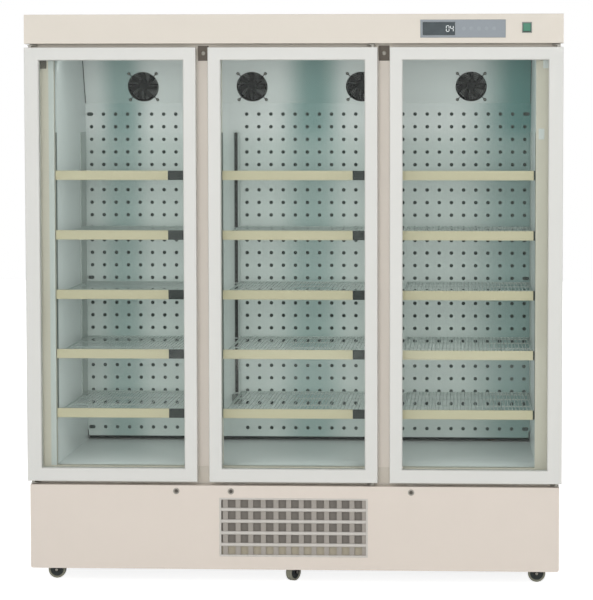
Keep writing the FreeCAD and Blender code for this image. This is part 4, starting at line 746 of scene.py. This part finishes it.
class REFRIGERATOR_OT_header(Operator):
    """Header cover, control panel with its keys and display, and the rocker switch"""

    bl_idname = "refrigerator.header"
    bl_label = "Header"

    def execute(self, context):
        edges = context.scene.refrigerator_edges
        self.cover()
        eased("control_bezel", "control_panel", "membrane_grey", edges.plastic)
        eased("display_block", "display_module", "display_window", edges.sheet)
        eased("switch_bezel", "switch_frame", "moulded_bezel", edges.sheet)
        eased("switch_rocker", "rocker_switch", "polycarbonate_green", edges.sheet, "rocker")
        self.keys()
        self.digits()
        return {"FINISHED"}

    def cover(self):
        """A folded sheet: its bent profile is carried across as a grid, less the cells at the two openings, and
        then thickened. The ends are flat plates a little way in from its edges."""
        low, high = corners("header_cover")
        sheet, flange, seat, bend = 1.2 * MM, 44 * MM, 22 * MM, 2.2 * MM
        floor = corners("top_panel")[1][2]
        path = [(low[1] + flange, low[2]), (low[1], low[2]), (low[1], high[2]), (high[1], high[2])]
        path = rounded(path + [(high[1], floor), (high[1] - seat, floor)], bend, 5)
        around_rocker = (np.array(corners("rocker_switch")) + np.array(corners("switch_frame"))) / 2
        windows = [[b[[0, 2]] for b in pair] for pair in (corners("display_module"), around_rocker)]
        on_front = np.abs(path[:, 0] - low[1]) < 1e-6
        first = np.argmax(on_front)
        rows = np.sort([*path[on_front, 1], *(b[1] for w in windows for b in w)])
        rows = np.column_stack([np.full(len(rows), low[1]), rows])
        path = np.concatenate([path[:first], rows, path[first + on_front.sum() :]])
        columns = np.array([low[0], *(b[0] for w in windows for b in w), high[0]])
        points = xyz(columns, path[:, :1], path[:, 1:]).reshape(-1, 3)
        faces = quads(len(path), len(columns))
        middle = points[faces].mean(1)
        for (x0, z0), (x1, z1) in windows:
            inside = (middle[:, 0] > x0) & (middle[:, 0] < x1) & (middle[:, 2] > z0) & (middle[:, 2] < z1)
            keep = ~(inside & (middle[:, 1] < low[1] + sheet))
            faces, middle = faces[keep], middle[keep]
        cover = made("header_sheet", (points, [faces]), "powder_coat_header", stands_for="header_cover", sheet=sheet)
        cover.modifiers.new("flat_faces", "WEIGHTED_NORMAL").keep_sharp = True
        inset, jamb = 0.5 * MM, corners("front_frame")[0][1]
        front, back = low[1] + sheet, high[1] - sheet
        bottom, seam, top = low[2] + sheet, floor + sheet, high[2] - sheet
        outline = [(front, bottom), (jamb, bottom), (jamb, seam), (back, seam), (back, top), (front, top)]
        left, right = low[0] + inset, high[0] - inset
        ends = carried(outline, [left, right - sheet], [left + sheet, right])
        made("header_ends", ends, "powder_coat_header")

    def keys(self):
        """Five round raised keys: a shallow dome, height falling with the square of the radius."""
        low, high = corners("control_panel")
        first, pitch = corners("display_module")[1][0] + 30 * MM, 26 * MM
        dome = np.array([(0, 0.5), (3.5, 0.48), (6.0, 0.36), (6.8, 0.16), (7.2, -0.2)]) * MM
        middle = (low[2] + high[2]) / 2
        keys = [turned(dome, (first + n * pitch, low[1], middle), (0, -1, 0), 32) for n in range(5)]
        made("membrane_keys", joined(*keys), "membrane_key")

    def digits(self):
        """Two seven-segment digits, each segment a bar with pointed ends carried a little way out."""
        low, high = corners("display_module")
        wide, tall, half, gap = 9.5 * MM, 10.0 * MM, 1.3 * MM, 0.5 * MM
        foot = (low[2] + high[2]) / 2 - tall
        depth = low[1] + np.array([[-0.5], [0.1]]) * MM
        ends = [((0, 2), (1, 2)), ((0, 1), (0, 2)), ((1, 1), (1, 2)), ((0, 1), (1, 1))]
        ends += [((0, 0), (0, 1)), ((1, 0), (1, 1)), ((0, 0), (1, 0))]
        shapes = []
        for left, lit in ((high[0] - 30 * MM, (0, 1, 2, 4, 5, 6)), (high[0] - 15.5 * MM, (1, 2, 3, 5))):
            for segment in lit:
                start, end = (np.array(p) * (wide, tall) for p in ends[segment])
                along = (end - start) / np.linalg.norm(end - start)
                side = np.array([-along[1], along[0]]) * half
                start, end = start + along * gap, end - along * gap
                step = along * half
                outline = [start, start + step + side, end - step + side, end, end - step - side, start + step - side]
                flat = np.array(outline) + (left, foot)
                shapes.append((xyz(flat[:, 0], depth, flat[:, 1]).reshape(-1, 3), capped(2, 6)))
        made("display_digits", joined(*shapes), "lit_segment")


class REFRIGERATOR_OT_doors(Operator):
    """Door frames, glazing beads, sealed glass units and the bellows seals"""

    bl_idname = "refrigerator.doors"
    bl_label = "Doors"

    def execute(self, context):
        edges = context.scene.refrigerator_edges
        for side in SIDES:
            body = "door_" + side
            eased(body + "_sash", body + "_frame", "powder_coat_doors", edges.door, body)
            self.glass(body)
            self.seal(body)
        eased("hinge_plates", "hinge_brackets", "zinc_plate", edges.sheet)
        return {"FINISHED"}

    def glass(self, body):
        """Two panes with a bar between, and a soft bead between the front pane and the frame's lip."""
        low, high = corners(body + "_glass")
        rectangle = (low[0], high[0], low[2], high[2])
        outer, inner = low[1] + 4 * MM, high[1] - 4 * MM
        panes = boxes([low, (low[0], inner, low[2])], [(high[0], outer, high[2]), high])
        rim, reach = 0.5 * MM, 11 * MM
        spacer = framed([(rim, outer), (reach, outer), (reach, inner), (rim, inner)], *rectangle)
        looks = ["insulated_glass", "spacer_bar"]
        made(body + "_panes", [panes, spacer], looks, body, stands_for=body + "_glass")
        bead = np.array([(-1, 0.2), (-1, -2.6), (1.2, -2.2), (2.6, -0.6), (2.8, 0.2)]) * MM
        bead += (11.6 * MM, low[1] - 0.2 * MM)
        made(body + "_bead", framed(bead, *rectangle), "seal_elastomer", body)

    def seal(self, body):
        """A bellows seal: a foot in the frame, a narrow pleat and a hollow bulb that meets the jamb. The shares are
        of its width and of its depth."""
        low, high = corners(body + "_gasket")
        share = [(0.1, 0), (0.9, 0), (1, 0.12), (0.95, 0.24), (0.72, 0.3), (0.7, 0.38), (0.95, 0.46), (1, 0.56)]
        share += [(1, 0.9), (0.9, 1), (0.1, 1), (0, 0.9), (0, 0.56), (0.05, 0.46), (0.3, 0.38), (0.28, 0.3)]
        share += [(0.05, 0.24), (0, 0.12)]
        profile = np.array(share) * (12 * MM, high[1] - low[1]) + (0, low[1])
        seal = framed(profile, low[0], high[0], low[2], high[2])
        made(body + "_seal", seal, "seal_elastomer", body, stands_for=body + "_gasket")


class REFRIGERATOR_OT_base(Operator):
    """Base panel, air grille with its dust filter, and the three cam locks"""

    bl_idname = "refrigerator.base"
    bl_label = "Base"

    def execute(self, context):
        edges = context.scene.refrigerator_edges
        eased("base_sheet", "base_front_panel", "powder_coat_case", edges.sheet)
        self.grille()
        low, high = corners("lock_barrels")
        length = (high[1] - low[1]) / MM
        collar = [(6.1, 0.3), (6.6, 0), (9.6, 0), (10.7, 0.5), (11, 1.4), (11, 2), (9, 2), (9, length), (6.1, length)]
        barrels = []
        for side in SIDES:
            place = pivot("lock_" + side)[0]
            place[1] = low[1]
            barrels.append(turned(np.array(collar) * MM, place, (0, 1, 0), 40, loop=True))
            eased("lock_" + side + "_plug", "lock_plug_" + side, "lock_core", 0.25 * MM, "lock_" + side)
        made("lock_bodies", joined(*barrels), "nickel_plate", stands_for="lock_barrels")
        return {"FINISHED"}

    def grille(self):
        """A rim, four rounded slats and the set-back ribs between the columns, with the dust filter behind."""
        low, high = corners("intake_grille")
        rim, slat, nose = 6.3 * MM, 12 * MM, 5 * MM
        pitch, gap, first = 44.4 * MM, 27 * MM, -217.2 * MM
        front, back = low[1], high[1]
        profile = [(0, front + 2 * MM), (0, front + 0.9 * MM), (0.9 * MM, front), (rim - 1.2 * MM, front)]
        profile += [(rim, front + 1.2 * MM), (rim, back), (rim - 2 * MM, back), (rim - 2 * MM, front + 2 * MM)]
        border = framed(profile, low[0], high[0], low[2], high[2])
        low, high = low + rim, high - rim
        rise = (high[2] - low[2] + slat) / 5
        z = low[2] + rise * np.arange(1, 5) - slat / 2
        turn = np.linspace(0, pi, 9)
        section = np.column_stack([front + nose - nose * np.sin(turn), slat / 2 * np.cos(turn)])
        section = np.concatenate([section, [(back, -slat / 2 + 1 * MM), (back, slat / 2 - 1 * MM)]])
        slats = carried(section[None] + np.column_stack([z * 0, z])[:, None], low[0], high[0])
        left = first + pitch * np.arange(-1, 11) + gap / 2
        right = np.minimum(first + pitch * np.arange(-1, 11) + pitch - gap / 2, high[0])
        ribs = boxes(xyz(left, front + 6 * MM, low[2]), xyz(right, back - 0.4 * MM, high[2]))
        looks = ["moulded_grille", "moulded_rib"]
        made("grille_moulding", [joined(border, slats), ribs], looks, stands_for="intake_grille")
        near, far = back + 1 * MM, back + 4 * MM
        edge = low[2] + rise - slat / 2
        mat = boxes((low[0], near, edge), (high[0], far, high[2]))
        hem = boxes((low[0], near, low[2]), (high[0], far, edge))
        made("dust_filter", [mat, hem], ["filter_mesh", "filter_edge"])


class REFRIGERATOR_OT_casters(Operator):
    """Six swivel casters: forks with a raceway and axle nuts, and wheels with a rim and a hub"""

    bl_idname = "refrigerator.casters"
    bl_label = "Casters"

    def execute(self, context):
        """The profiles are (radius, height) in millimetres, from the fork's top plate or from the axle's middle."""
        edges = context.scene.refrigerator_edges
        race = np.array([(6, -4.5), (16, -4.5), (17.5, -7), (16.5, -10.5), (8, -11), (6, -10)]) * MM
        cap = np.array([(0, 19.6), (3.6, 19.4), (5.2, 18.6), (5.4, 16.4)]) * MM
        core = [(4.1, 10), (4.1, -10), (9, -11.5), (10, -10), (20, -8.5), (24, -9), (24, 9), (20, 8.5)]
        core = np.array(core + [(10, 10), (9, 11.5)]) * MM
        tread = [(23, -10), (25, -12), (28.5, -12), (30.2, -10.8), (30.8, -8), (31, 0), (30.8, 8)]
        tread = np.array(tread + [(30.2, 10.8), (28.5, 12), (25, 12), (23, 10)]) * MM
        for name in CASTERS:
            fork, wheel = "swivel_" + name, "wheel_" + name
            eased("fork_" + name, "caster_fork_" + name, "fork_paint", edges.sheet, fork)
            foot, (axle, way) = pivot(fork)[0], pivot(wheel)
            foot[2] = corners("caster_fork_" + name)[1][2] - 30 * MM
            parts = [turned(race, foot, (0, 0, 1), 36, loop=True)]
            parts += [turned(cap, axle, way * side, 6) for side in (1, -1)]
            made("raceway_" + name, joined(*parts), "zinc_plate", fork)
            parts = [turned(part, axle, way, 64, loop=True) for part in (tread, core)]
            made("tyre_" + name, parts, ["cast_nylon", "moulded_dark"], wheel, stands_for="caster_wheel_" + name)
        return {"FINISHED"}


class REFRIGERATOR_OT_fans(Operator):
    """The slanted panel with its round holes, the fans' guards, screws, frames and rotors"""

    bl_idname = "refrigerator.fans"
    bl_label = "Fans"

    def execute(self, context):
        edges = context.scene.refrigerator_edges
        values = context.scene.refrigerator_fans
        fans = [pivot("fan_" + str(n)) for n in (1, 2, 3, 4)]
        self.panel(fans)
        self.guards(values, fans)
        eased("fan_frames", "fan_housings", "moulded_fan", edges.sheet)
        hub = np.array([(0, 7), (14, 7), (17, 6.2), (18, 4), (18, -7), (2.6, -7), (2.6, 0), (0, 0)]) * MM
        for n, (place, axis) in enumerate(fans, 1):
            centre = place - axis * 9.9 * MM
            blades = bladed(18 * MM, 53 * MM, 13.4 * MM, values.blades, centre, axis)
            rotor = joined(turned(hub, centre, axis, 40), blades)
            made("rotor_" + str(n), rotor, "moulded_fan", "fan_" + str(n), stands_for="fan_rotor_" + str(n))
        centre, axis = pivot("condenser_fan")
        low, high = corners("condenser_rotor")
        centre[1] = (low[1] + high[1]) / 2
        hub = np.array([(0, 9), (18, 9), (21, 8), (22, 5), (22, -9), (2.6, -9), (2.6, 0), (0, 0)]) * MM
        rotor = joined(turned(hub, centre, (0, -1, 0), 40), bladed(22 * MM, 70.5 * MM, 17.4 * MM, 5, centre, axis))
        made("condenser_blades", rotor, "tray_plastic", "condenser_fan", stands_for="condenser_rotor")
        return {"FINISHED"}

    def panel(self, fans):
        """One long plate that leans forward, with a lip along its top and a round hole for each fan."""
        low, high = corners("fan_panel")
        foot, axis = fans[0]
        up = np.array([0, axis[2], -axis[1]])
        rise, span = (foot[2] - low[2]) / up[2], (high[2] - low[2]) / up[2]
        hole, sheet, lip_depth = 58 * MM, 1.2 * MM, 25 * MM
        x = np.array([place[0] for place, _ in fans])
        edges = np.concatenate([[low[0]], (x[1:] + x[:-1]) / 2, [high[0]]])
        origin = foot - up * rise
        origin[0] = 0
        edges, centres = (edges, np.array([0, span])), (x, np.array([rise]))
        plate = pierced(edges, centres, hole, 64, sheet, origin, (1, 0, 0), up, -axis)
        top = (origin + up * span)[1]
        lip = boxes((low[0], top, high[2] - sheet), (high[0], top + lip_depth, high[2]))
        made("slanted_panel", joined(plate, lip), "slanted_sheet", stands_for="fan_panel")
        start = origin + axis * 0.6 * MM + xyz(np.array([low[0], high[0]]), 0, 0) + up * 2 * MM
        trim = bars(start, start + up * (span - 4 * MM), 2.6 * MM)
        made("edge_trim", trim, "seal_elastomer_dark")

    def guards(self, values, fans):
        """Wire rings on four crossed arms, with an eye and a screw at the end of each arm."""
        wire = values.wire_radius
        button = np.array([(0, 3.2), (11, 3), (13, 1.8), (13, 1.0), (0, 1.0)]) * MM
        head = np.array([(0, 3.0), (2.4, 2.8), (3.8, 1.8), (4.2, 0.0)]) * MM
        turn = (np.arange(4) * 2 + 1) * pi / 4
        shapes, screws = [], []
        for place, axis in fans:
            front, arms = place + axis * 2.2 * MM, place + axis * 1.4 * MM
            shapes += [ring_wire(radius, wire, front, axis, 56) for radius in np.linspace(14, 57, values.rings) * MM]
            u, v = (d[0] for d in across(axis[None]))
            out = np.cos(turn)[:, None] * u + np.sin(turn)[:, None] * v
            shapes.append(bars(arms + out * 10 * MM, arms + out * 70 * MM, wire))
            shapes.append(turned(button, place, axis, 32))
            for way in out:
                spot = place + way * 73 * MM
                shapes.append(ring_wire(4.6 * MM, wire, spot + axis * 1.4 * MM, axis, 20))
                screws.append(turned(head, spot, axis, 20))
        made("guard_wires", [joined(*shapes), joined(*screws)], ["moulded_fan", "zinc_plate"], stands_for="fan_guards")


class REFRIGERATOR_OT_back_panels(Operator):
    """The perforated panels in front of the air duct, and the slotted uprights"""

    bl_idname = "refrigerator.back_panels"
    bl_label = "Back panels"

    def execute(self, context):
        """Three folded plates, one to a bay. The holes next to the side walls are drawn out into slots at the
        bottom, halfway and at the top, for the shelf uprights' hooks."""
        values = context.scene.refrigerator_perforations
        low, high = corners("back_panels")
        seam, gap, thick, slot = 294 * MM, 0.15 * MM, 1.2 * MM, 11 * MM
        rows = np.linspace(values.lowest, values.highest, values.rows)
        b = np.concatenate([[low[2]], (rows[1:] + rows[:-1]) / 2, [high[2]]])
        y0, y1 = low[1] + thick / 2, high[1]
        bays = [(-0.592, low[0], -seam - gap), (0, -seam + gap, seam - gap), (0.592, seam + gap, high[0])]
        shapes = []
        for middle, left, right in bays:
            columns = middle + (np.arange(values.columns) - (values.columns - 1) / 2) * values.column_pitch
            a = np.concatenate([[left], (columns[1:] + columns[:-1]) / 2, [right]])
            slots = np.zeros((values.rows, values.columns))
            if middle:
                drawn_rows, wall_column = [0, values.rows * 12 // 26, -1], 0 if middle < 0 else -1
                slots[drawn_rows, wall_column] = np.sign(middle) * slot
            directions = (0, low[1], 0), (1, 0, 0), (0, 0, 1), (0, 1, 0)
            shapes.append(pierced((a, b), (columns, rows), values.hole_radius, 12, thick, *directions, slots))
            lows = [(left, y0, low[2]), (right - thick, y0, low[2]), (left, y0, low[2]), (left, y0, high[2] - thick)]
            highs = [(left + thick, high[2]), (right, high[2]), (right, low[2] + thick), (right, high[2])]
            shapes.append(boxes(lows, [(x, y1, z) for x, z in highs]))
        made("perforated_panels", joined(*shapes), "perforated_sheet", stands_for="back_panels")
        # The duct lining is painted shade: sheets that stand for the dark of the duct seen through the holes and the
        # slot, darkest at the foot.
        left, right, near, far = low[0] + 4 * MM, high[0] - 4 * MM, high[1] + 1 * MM, high[1] + 5 * MM
        foot, change = corners("liner")[0][2] + 6 * MM, low[2] + 2 * MM
        foam = boxes((left, near, foot), (right, far, change))
        felt = boxes((left, near, change), (right, far, high[2] - 6 * MM))
        made("duct_lining", [foam, felt], ["duct_foam", "duct_felt"])
        front, drop, lap = low[1] + 0.2 * MM, low[2] - 23 * MM, low[2] + 0.6 * MM
        valance = boxes((left, front, drop), (right, low[1] + 1.4 * MM, lap))
        made("panel_valance", valance, "perforated_sheet")
        self.uprights(low[1])
        return {"FINISHED"}

    def uprights(self, back):
        """The strips on the walls and the channels at the back, with their row of hook slots and a foot each. The
        slots are near black and a dark strip runs down each channel: painted shade.
        """
        steel = eased("slotted_uprights", "shelf_uprights", "lacquered_strip", 0.4 * MM)
        repaint(steel, "painted_channel", 1, 0.0)
        low, high = corners("shelf_uprights")
        face = back - 12 * MM
        x = np.array([-345, -270, 270, 345]) * MM
        z = np.arange(low[2] + 8 * MM, high[2] - 12 * MM, 20 * MM)[:, None]
        top, bottom = high[2] - 4 * MM, low[2] + 4 * MM
        slots = boxes(xyz(x - 3.2 * MM, face - 0.25 * MM, z), xyz(x + 3.2 * MM, face + 0.5 * MM, z + 16 * MM))
        foot_low = xyz(x - 18 * MM, face - 2 * MM, low[2] - 34 * MM)
        feet = boxes(foot_low, xyz(x + 18 * MM, back - 0.3 * MM, low[2] + 6 * MM))
        # A dark strip down each channel's middle: painted shade inside the channel.
        channel_painted_shade = boxes(xyz(x - 6.5 * MM, face - 0.15 * MM, bottom), xyz(x + 6.5 * MM, face + 0.5 * MM, top))
        looks = ["key_slot", "lacquered_strip", "moulded_dark"]
        made("upright_slots", [slots, feet, channel_painted_shade], looks)


class REFRIGERATOR_OT_shelves(Operator):
    """Fifteen wire shelves with a front rail, and the label strips clipped on the rails"""

    bl_idname = "refrigerator.shelves"
    bl_label = "Shelves"

    def execute(self, context):
        """Each bay is its left and right end and how far its strips stop short on the right, in millimetres. The dark
        rail left bare there stands for the shadow of the frame beside it: painted shadow.
        """
        values = context.scene.refrigerator_shelves
        low, high = corners("shelves")
        strip_front = corners("label_strips")[0][1]
        tall, levels = 33 * MM, 5
        pitch = (high[2] - low[2] - tall) / (levels - 1)
        wire, rod = values.wire_radius, values.rod_radius
        wires, rails, strips = [], [], []
        front, start, end = low[1], low[1] + 1 * MM, high[1] - rod
        lip = [(1.5, -16.5), (0.3, -16.2), (0, -15), (0, -13.2), (0.7, -12.8), (0.7, 12.8), (0, 13.2), (0, 15)]
        lip = np.array(lip + [(0.3, 16.2), (1.5, 16.5), (3, 16.5), (3, -16.5)]) * MM
        cross = np.array([-330.0, -130.0, 60.0, 200.0, 234.0 - rod / MM]) * MM
        for bay in ((-841, -378.5, 66), (-252.5, 252.5, 48), (378.5, 841, 5)):
            left, right, short = (size * MM for size in bay)
            count = int((right - left - 16 * MM) / values.wire_pitch) + 1
            x = np.linspace(left + 8 * MM, right - 8 * MM, count)
            ends = np.array([left + rod, right - rod])
            for level in range(levels):
                middle = low[2] + tall / 2 + level * pitch
                z = middle + 2.5 * MM - wire
                below = np.array([z - wire - rod * 0.8] * 4 + [z])
                wires.append(bars(xyz(x, start, z), xyz(x, end, z), wire, 6))
                wires.append(bars(xyz(left + 3 * MM, cross, below), xyz(right - 3 * MM, cross, below), rod))
                wires.append(bars(xyz(ends, start, z), xyz(ends, end, z), rod))
                # The rail is dark where the strip stops short: painted shadow.
                rails.append(boxes((left, front, middle - tall / 2), (right, front + 2 * MM, middle + tall / 2)))
                strips.append(carried(lip + [strip_front, middle], left, right - short))
        made("wire_shelves", [joined(*wires), joined(*rails)], ["dipped_wire", "moulded_dark"], stands_for="shelves")
        made("price_strips", joined(*strips), "extruded_pvc", stands_for="label_strips")
        return {"FINISHED"}


class REFRIGERATOR_OT_machine(Operator):
    """Chassis, compressor, condenser and shroud, drain pan, evaporator and copper lines"""

    bl_idname = "refrigerator.machine"
    bl_label = "Machine"

    def execute(self, context):
        edges = context.scene.refrigerator_edges
        eased("welded_chassis", "chassis", "chassis_paint", edges.sheet)
        eased("condensate_pan", "drain_pan", "tray_plastic", edges.plastic)
        eased("fan_shroud", "condenser_shroud", "galvanised_sheet", edges.sheet)
        self.pot()
        self.coil("condenser", 5.0 * MM)
        self.coil("evaporator", 8.0 * MM)
        self.lines()
        return {"FINISHED"}

    def pot(self):
        """The compressor's shell: a domed pot with the welded seam round its middle, on two rails. Its profile is
        (radius, height) in millimetres, from the top down and then from the base."""
        low, high = corners("compressor")
        x, y = high[0] - 95 * MM, (low[1] + high[1]) / 2
        base, top = low[2] + 12 * MM, high[2]
        dome = np.array([(0, 0), (30, -0.8), (55, -5), (74, -15), (85, -29), (88, -45)]) * MM + (0, top)
        shell = [(88, 92), (90, 90), (90, 84), (88, 82), (88, 30), (82, 12), (66, 2), (0, 0)]
        shell = np.concatenate([dome, np.array(shell) * MM + (0, base)])
        shell = turned(shell, (x, y, 0), (0, 0, 1), 64)
        y_feet = y + np.array([[-62, 38], [-38, 62]]) * MM
        feet = boxes(xyz(x - 95 * MM, y_feet[0], base - 3 * MM), xyz(x + 95 * MM, y_feet[1], base + 3 * MM))
        spots = [(x + a * 84 * MM, y + b * 50 * MM, low[2]) for a in (-1, 1) for b in (-1, 1)]
        foot = np.array([(0, 0), (9, 0), (10, 2), (7.5, 5), (9, 8), (7, 9), (0, 9)]) * MM
        pads = joined(*[turned(foot, spot, (0, 0, 1), 24) for spot in spots])
        cover = boxes((low[0], y - 32 * MM, base + 30 * MM), (x - 76 * MM, y + 32 * MM, base + 100 * MM))
        shapes, looks = [joined(shell, feet), joined(pads, cover)], ["black_paint", "tray_plastic"]
        round_off(made("compressor_pot", shapes, looks, stands_for="compressor"), 0.8 * MM, 2)

    def coil(self, node, pitch):
        """A fin-and-tube coil: thin fins at a pitch, two rows of tubes through them, and end plates."""
        low, high = corners(node)
        plate, thick, tubes = 2 * MM, 0.5 * MM, 6
        x = np.arange(low[0] + plate + pitch / 2, high[0] - plate, pitch)
        fins = boxes(xyz(x - thick / 2, low[1], low[2]), xyz(x + thick / 2, high[1], high[2]))
        ends = boxes([low, (high[0] - plate, low[1], low[2])], [(low[0] + plate, high[1], high[2]), high])
        z = np.linspace(low[2], high[2], tubes * 2 + 1)[1::2, None]
        y = low[1] + (high[1] - low[1]) * np.array([0.28, 0.72])
        start, end = (xyz(x_end, y, z).reshape(-1, 3) for x_end in (low[0], high[0]))
        shapes = [joined(fins, ends), bars(start, end, 4.5 * MM, 10)]
        made(node + "_coil", shapes, ["fin_stock", "drawn_copper"], stands_for=node)

    def lines(self):
        """The two refrigerant lines as smooth tubes through the same turns as in the solids."""
        shell_low, shell_high = corners("compressor")
        coil_high = corners("evaporator")[1]
        x_pot, x_up, x_coil = shell_high[0] - 5 * MM, 0.7, coil_high[0]
        y_pot, y_up = (shell_low[1] + shell_high[1]) / 2, corners("pipework")[1][1] - 8 * MM
        z_coil = coil_high[2] - 90 * MM
        for name, radius, way, lift in (("suction", 8.0, -10.0, 120.0), ("liquid", 5.0, 10.0, 60.0)):
            side = way * MM
            x, y, z0, z1 = x_up + side, y_pot + side, shell_low[2] + lift * MM, z_coil + side
            route = [(x_pot, y, z0), (x, y, z0), (x, y_up, z0), (x, y_up, z1), (x_coil, y_up, z1)]
            self.tube("line_" + name, route, radius * MM)

    def tube(self, name, route, radius):
        """A round tube along a route, with each corner turned on a short curve."""
        path = rounded(route, 32 * MM, 9)
        curve = bpy.data.curves.new(name, "CURVE")
        curve.dimensions = "3D"
        curve.bevel_depth = radius
        curve.bevel_resolution = 4
        curve.use_fill_caps = True
        run = curve.splines.new("POLY")
        run.points.add(len(path) - 1)
        run.points.foreach_set("co", np.column_stack([path, np.ones(len(path))]).ravel())
        holder = bpy.data.objects.new(name + "_curve", curve)
        mesh = bpy.data.meshes.new_from_object(holder)
        mesh.name = name
        bpy.data.objects.remove(holder)
        finished(name, mesh, "drawn_copper", stands_for="pipework")


class REFRIGERATOR_PT_pieces(Panel):
    """The refrigerator's pieces, in the order in which they are made"""

    bl_idname = "REFRIGERATOR_PT_pieces"
    bl_label = "Refrigerator"
    bl_space_type = "VIEW_3D"
    bl_region_type = "UI"
    bl_category = "Refrigerator"

    def draw(self, context):
        for operator in OPERATORS:
            self.layout.operator(operator.bl_idname)


GROUPS = {
    "refrigerator_stage": RefrigeratorStage,
    "refrigerator_paint": RefrigeratorPaint,
    "refrigerator_edges": RefrigeratorEdges,
    "refrigerator_perforations": RefrigeratorPerforations,
    "refrigerator_shelves": RefrigeratorShelves,
    "refrigerator_fans": RefrigeratorFans,
}
OPERATORS = (
    REFRIGERATOR_OT_stage,
    REFRIGERATOR_OT_case,
    REFRIGERATOR_OT_header,
    REFRIGERATOR_OT_doors,
    REFRIGERATOR_OT_base,
    REFRIGERATOR_OT_casters,
    REFRIGERATOR_OT_fans,
    REFRIGERATOR_OT_back_panels,
    REFRIGERATOR_OT_shelves,
    REFRIGERATOR_OT_machine,
)


def register():
    for group in GROUPS.values():
        bpy.utils.register_class(group)
    for name, group in GROUPS.items():
        setattr(bpy.types.Scene, name, PointerProperty(type=group))
    for operator in OPERATORS:
        bpy.utils.register_class(operator)
    bpy.utils.register_class(REFRIGERATOR_PT_pieces)


def unregister():
    bpy.utils.unregister_class(REFRIGERATOR_PT_pieces)
    for operator in reversed(OPERATORS):
        bpy.utils.unregister_class(operator)
    for name, group in GROUPS.items():
        delattr(bpy.types.Scene, name)
        bpy.utils.unregister_class(group)


def main():
    """Makes every piece."""
    register()
    for operator in OPERATORS:
        group, name = operator.bl_idname.split(".")
        getattr(getattr(bpy.ops, group), name)()


if __name__ == "__main__":
    main()
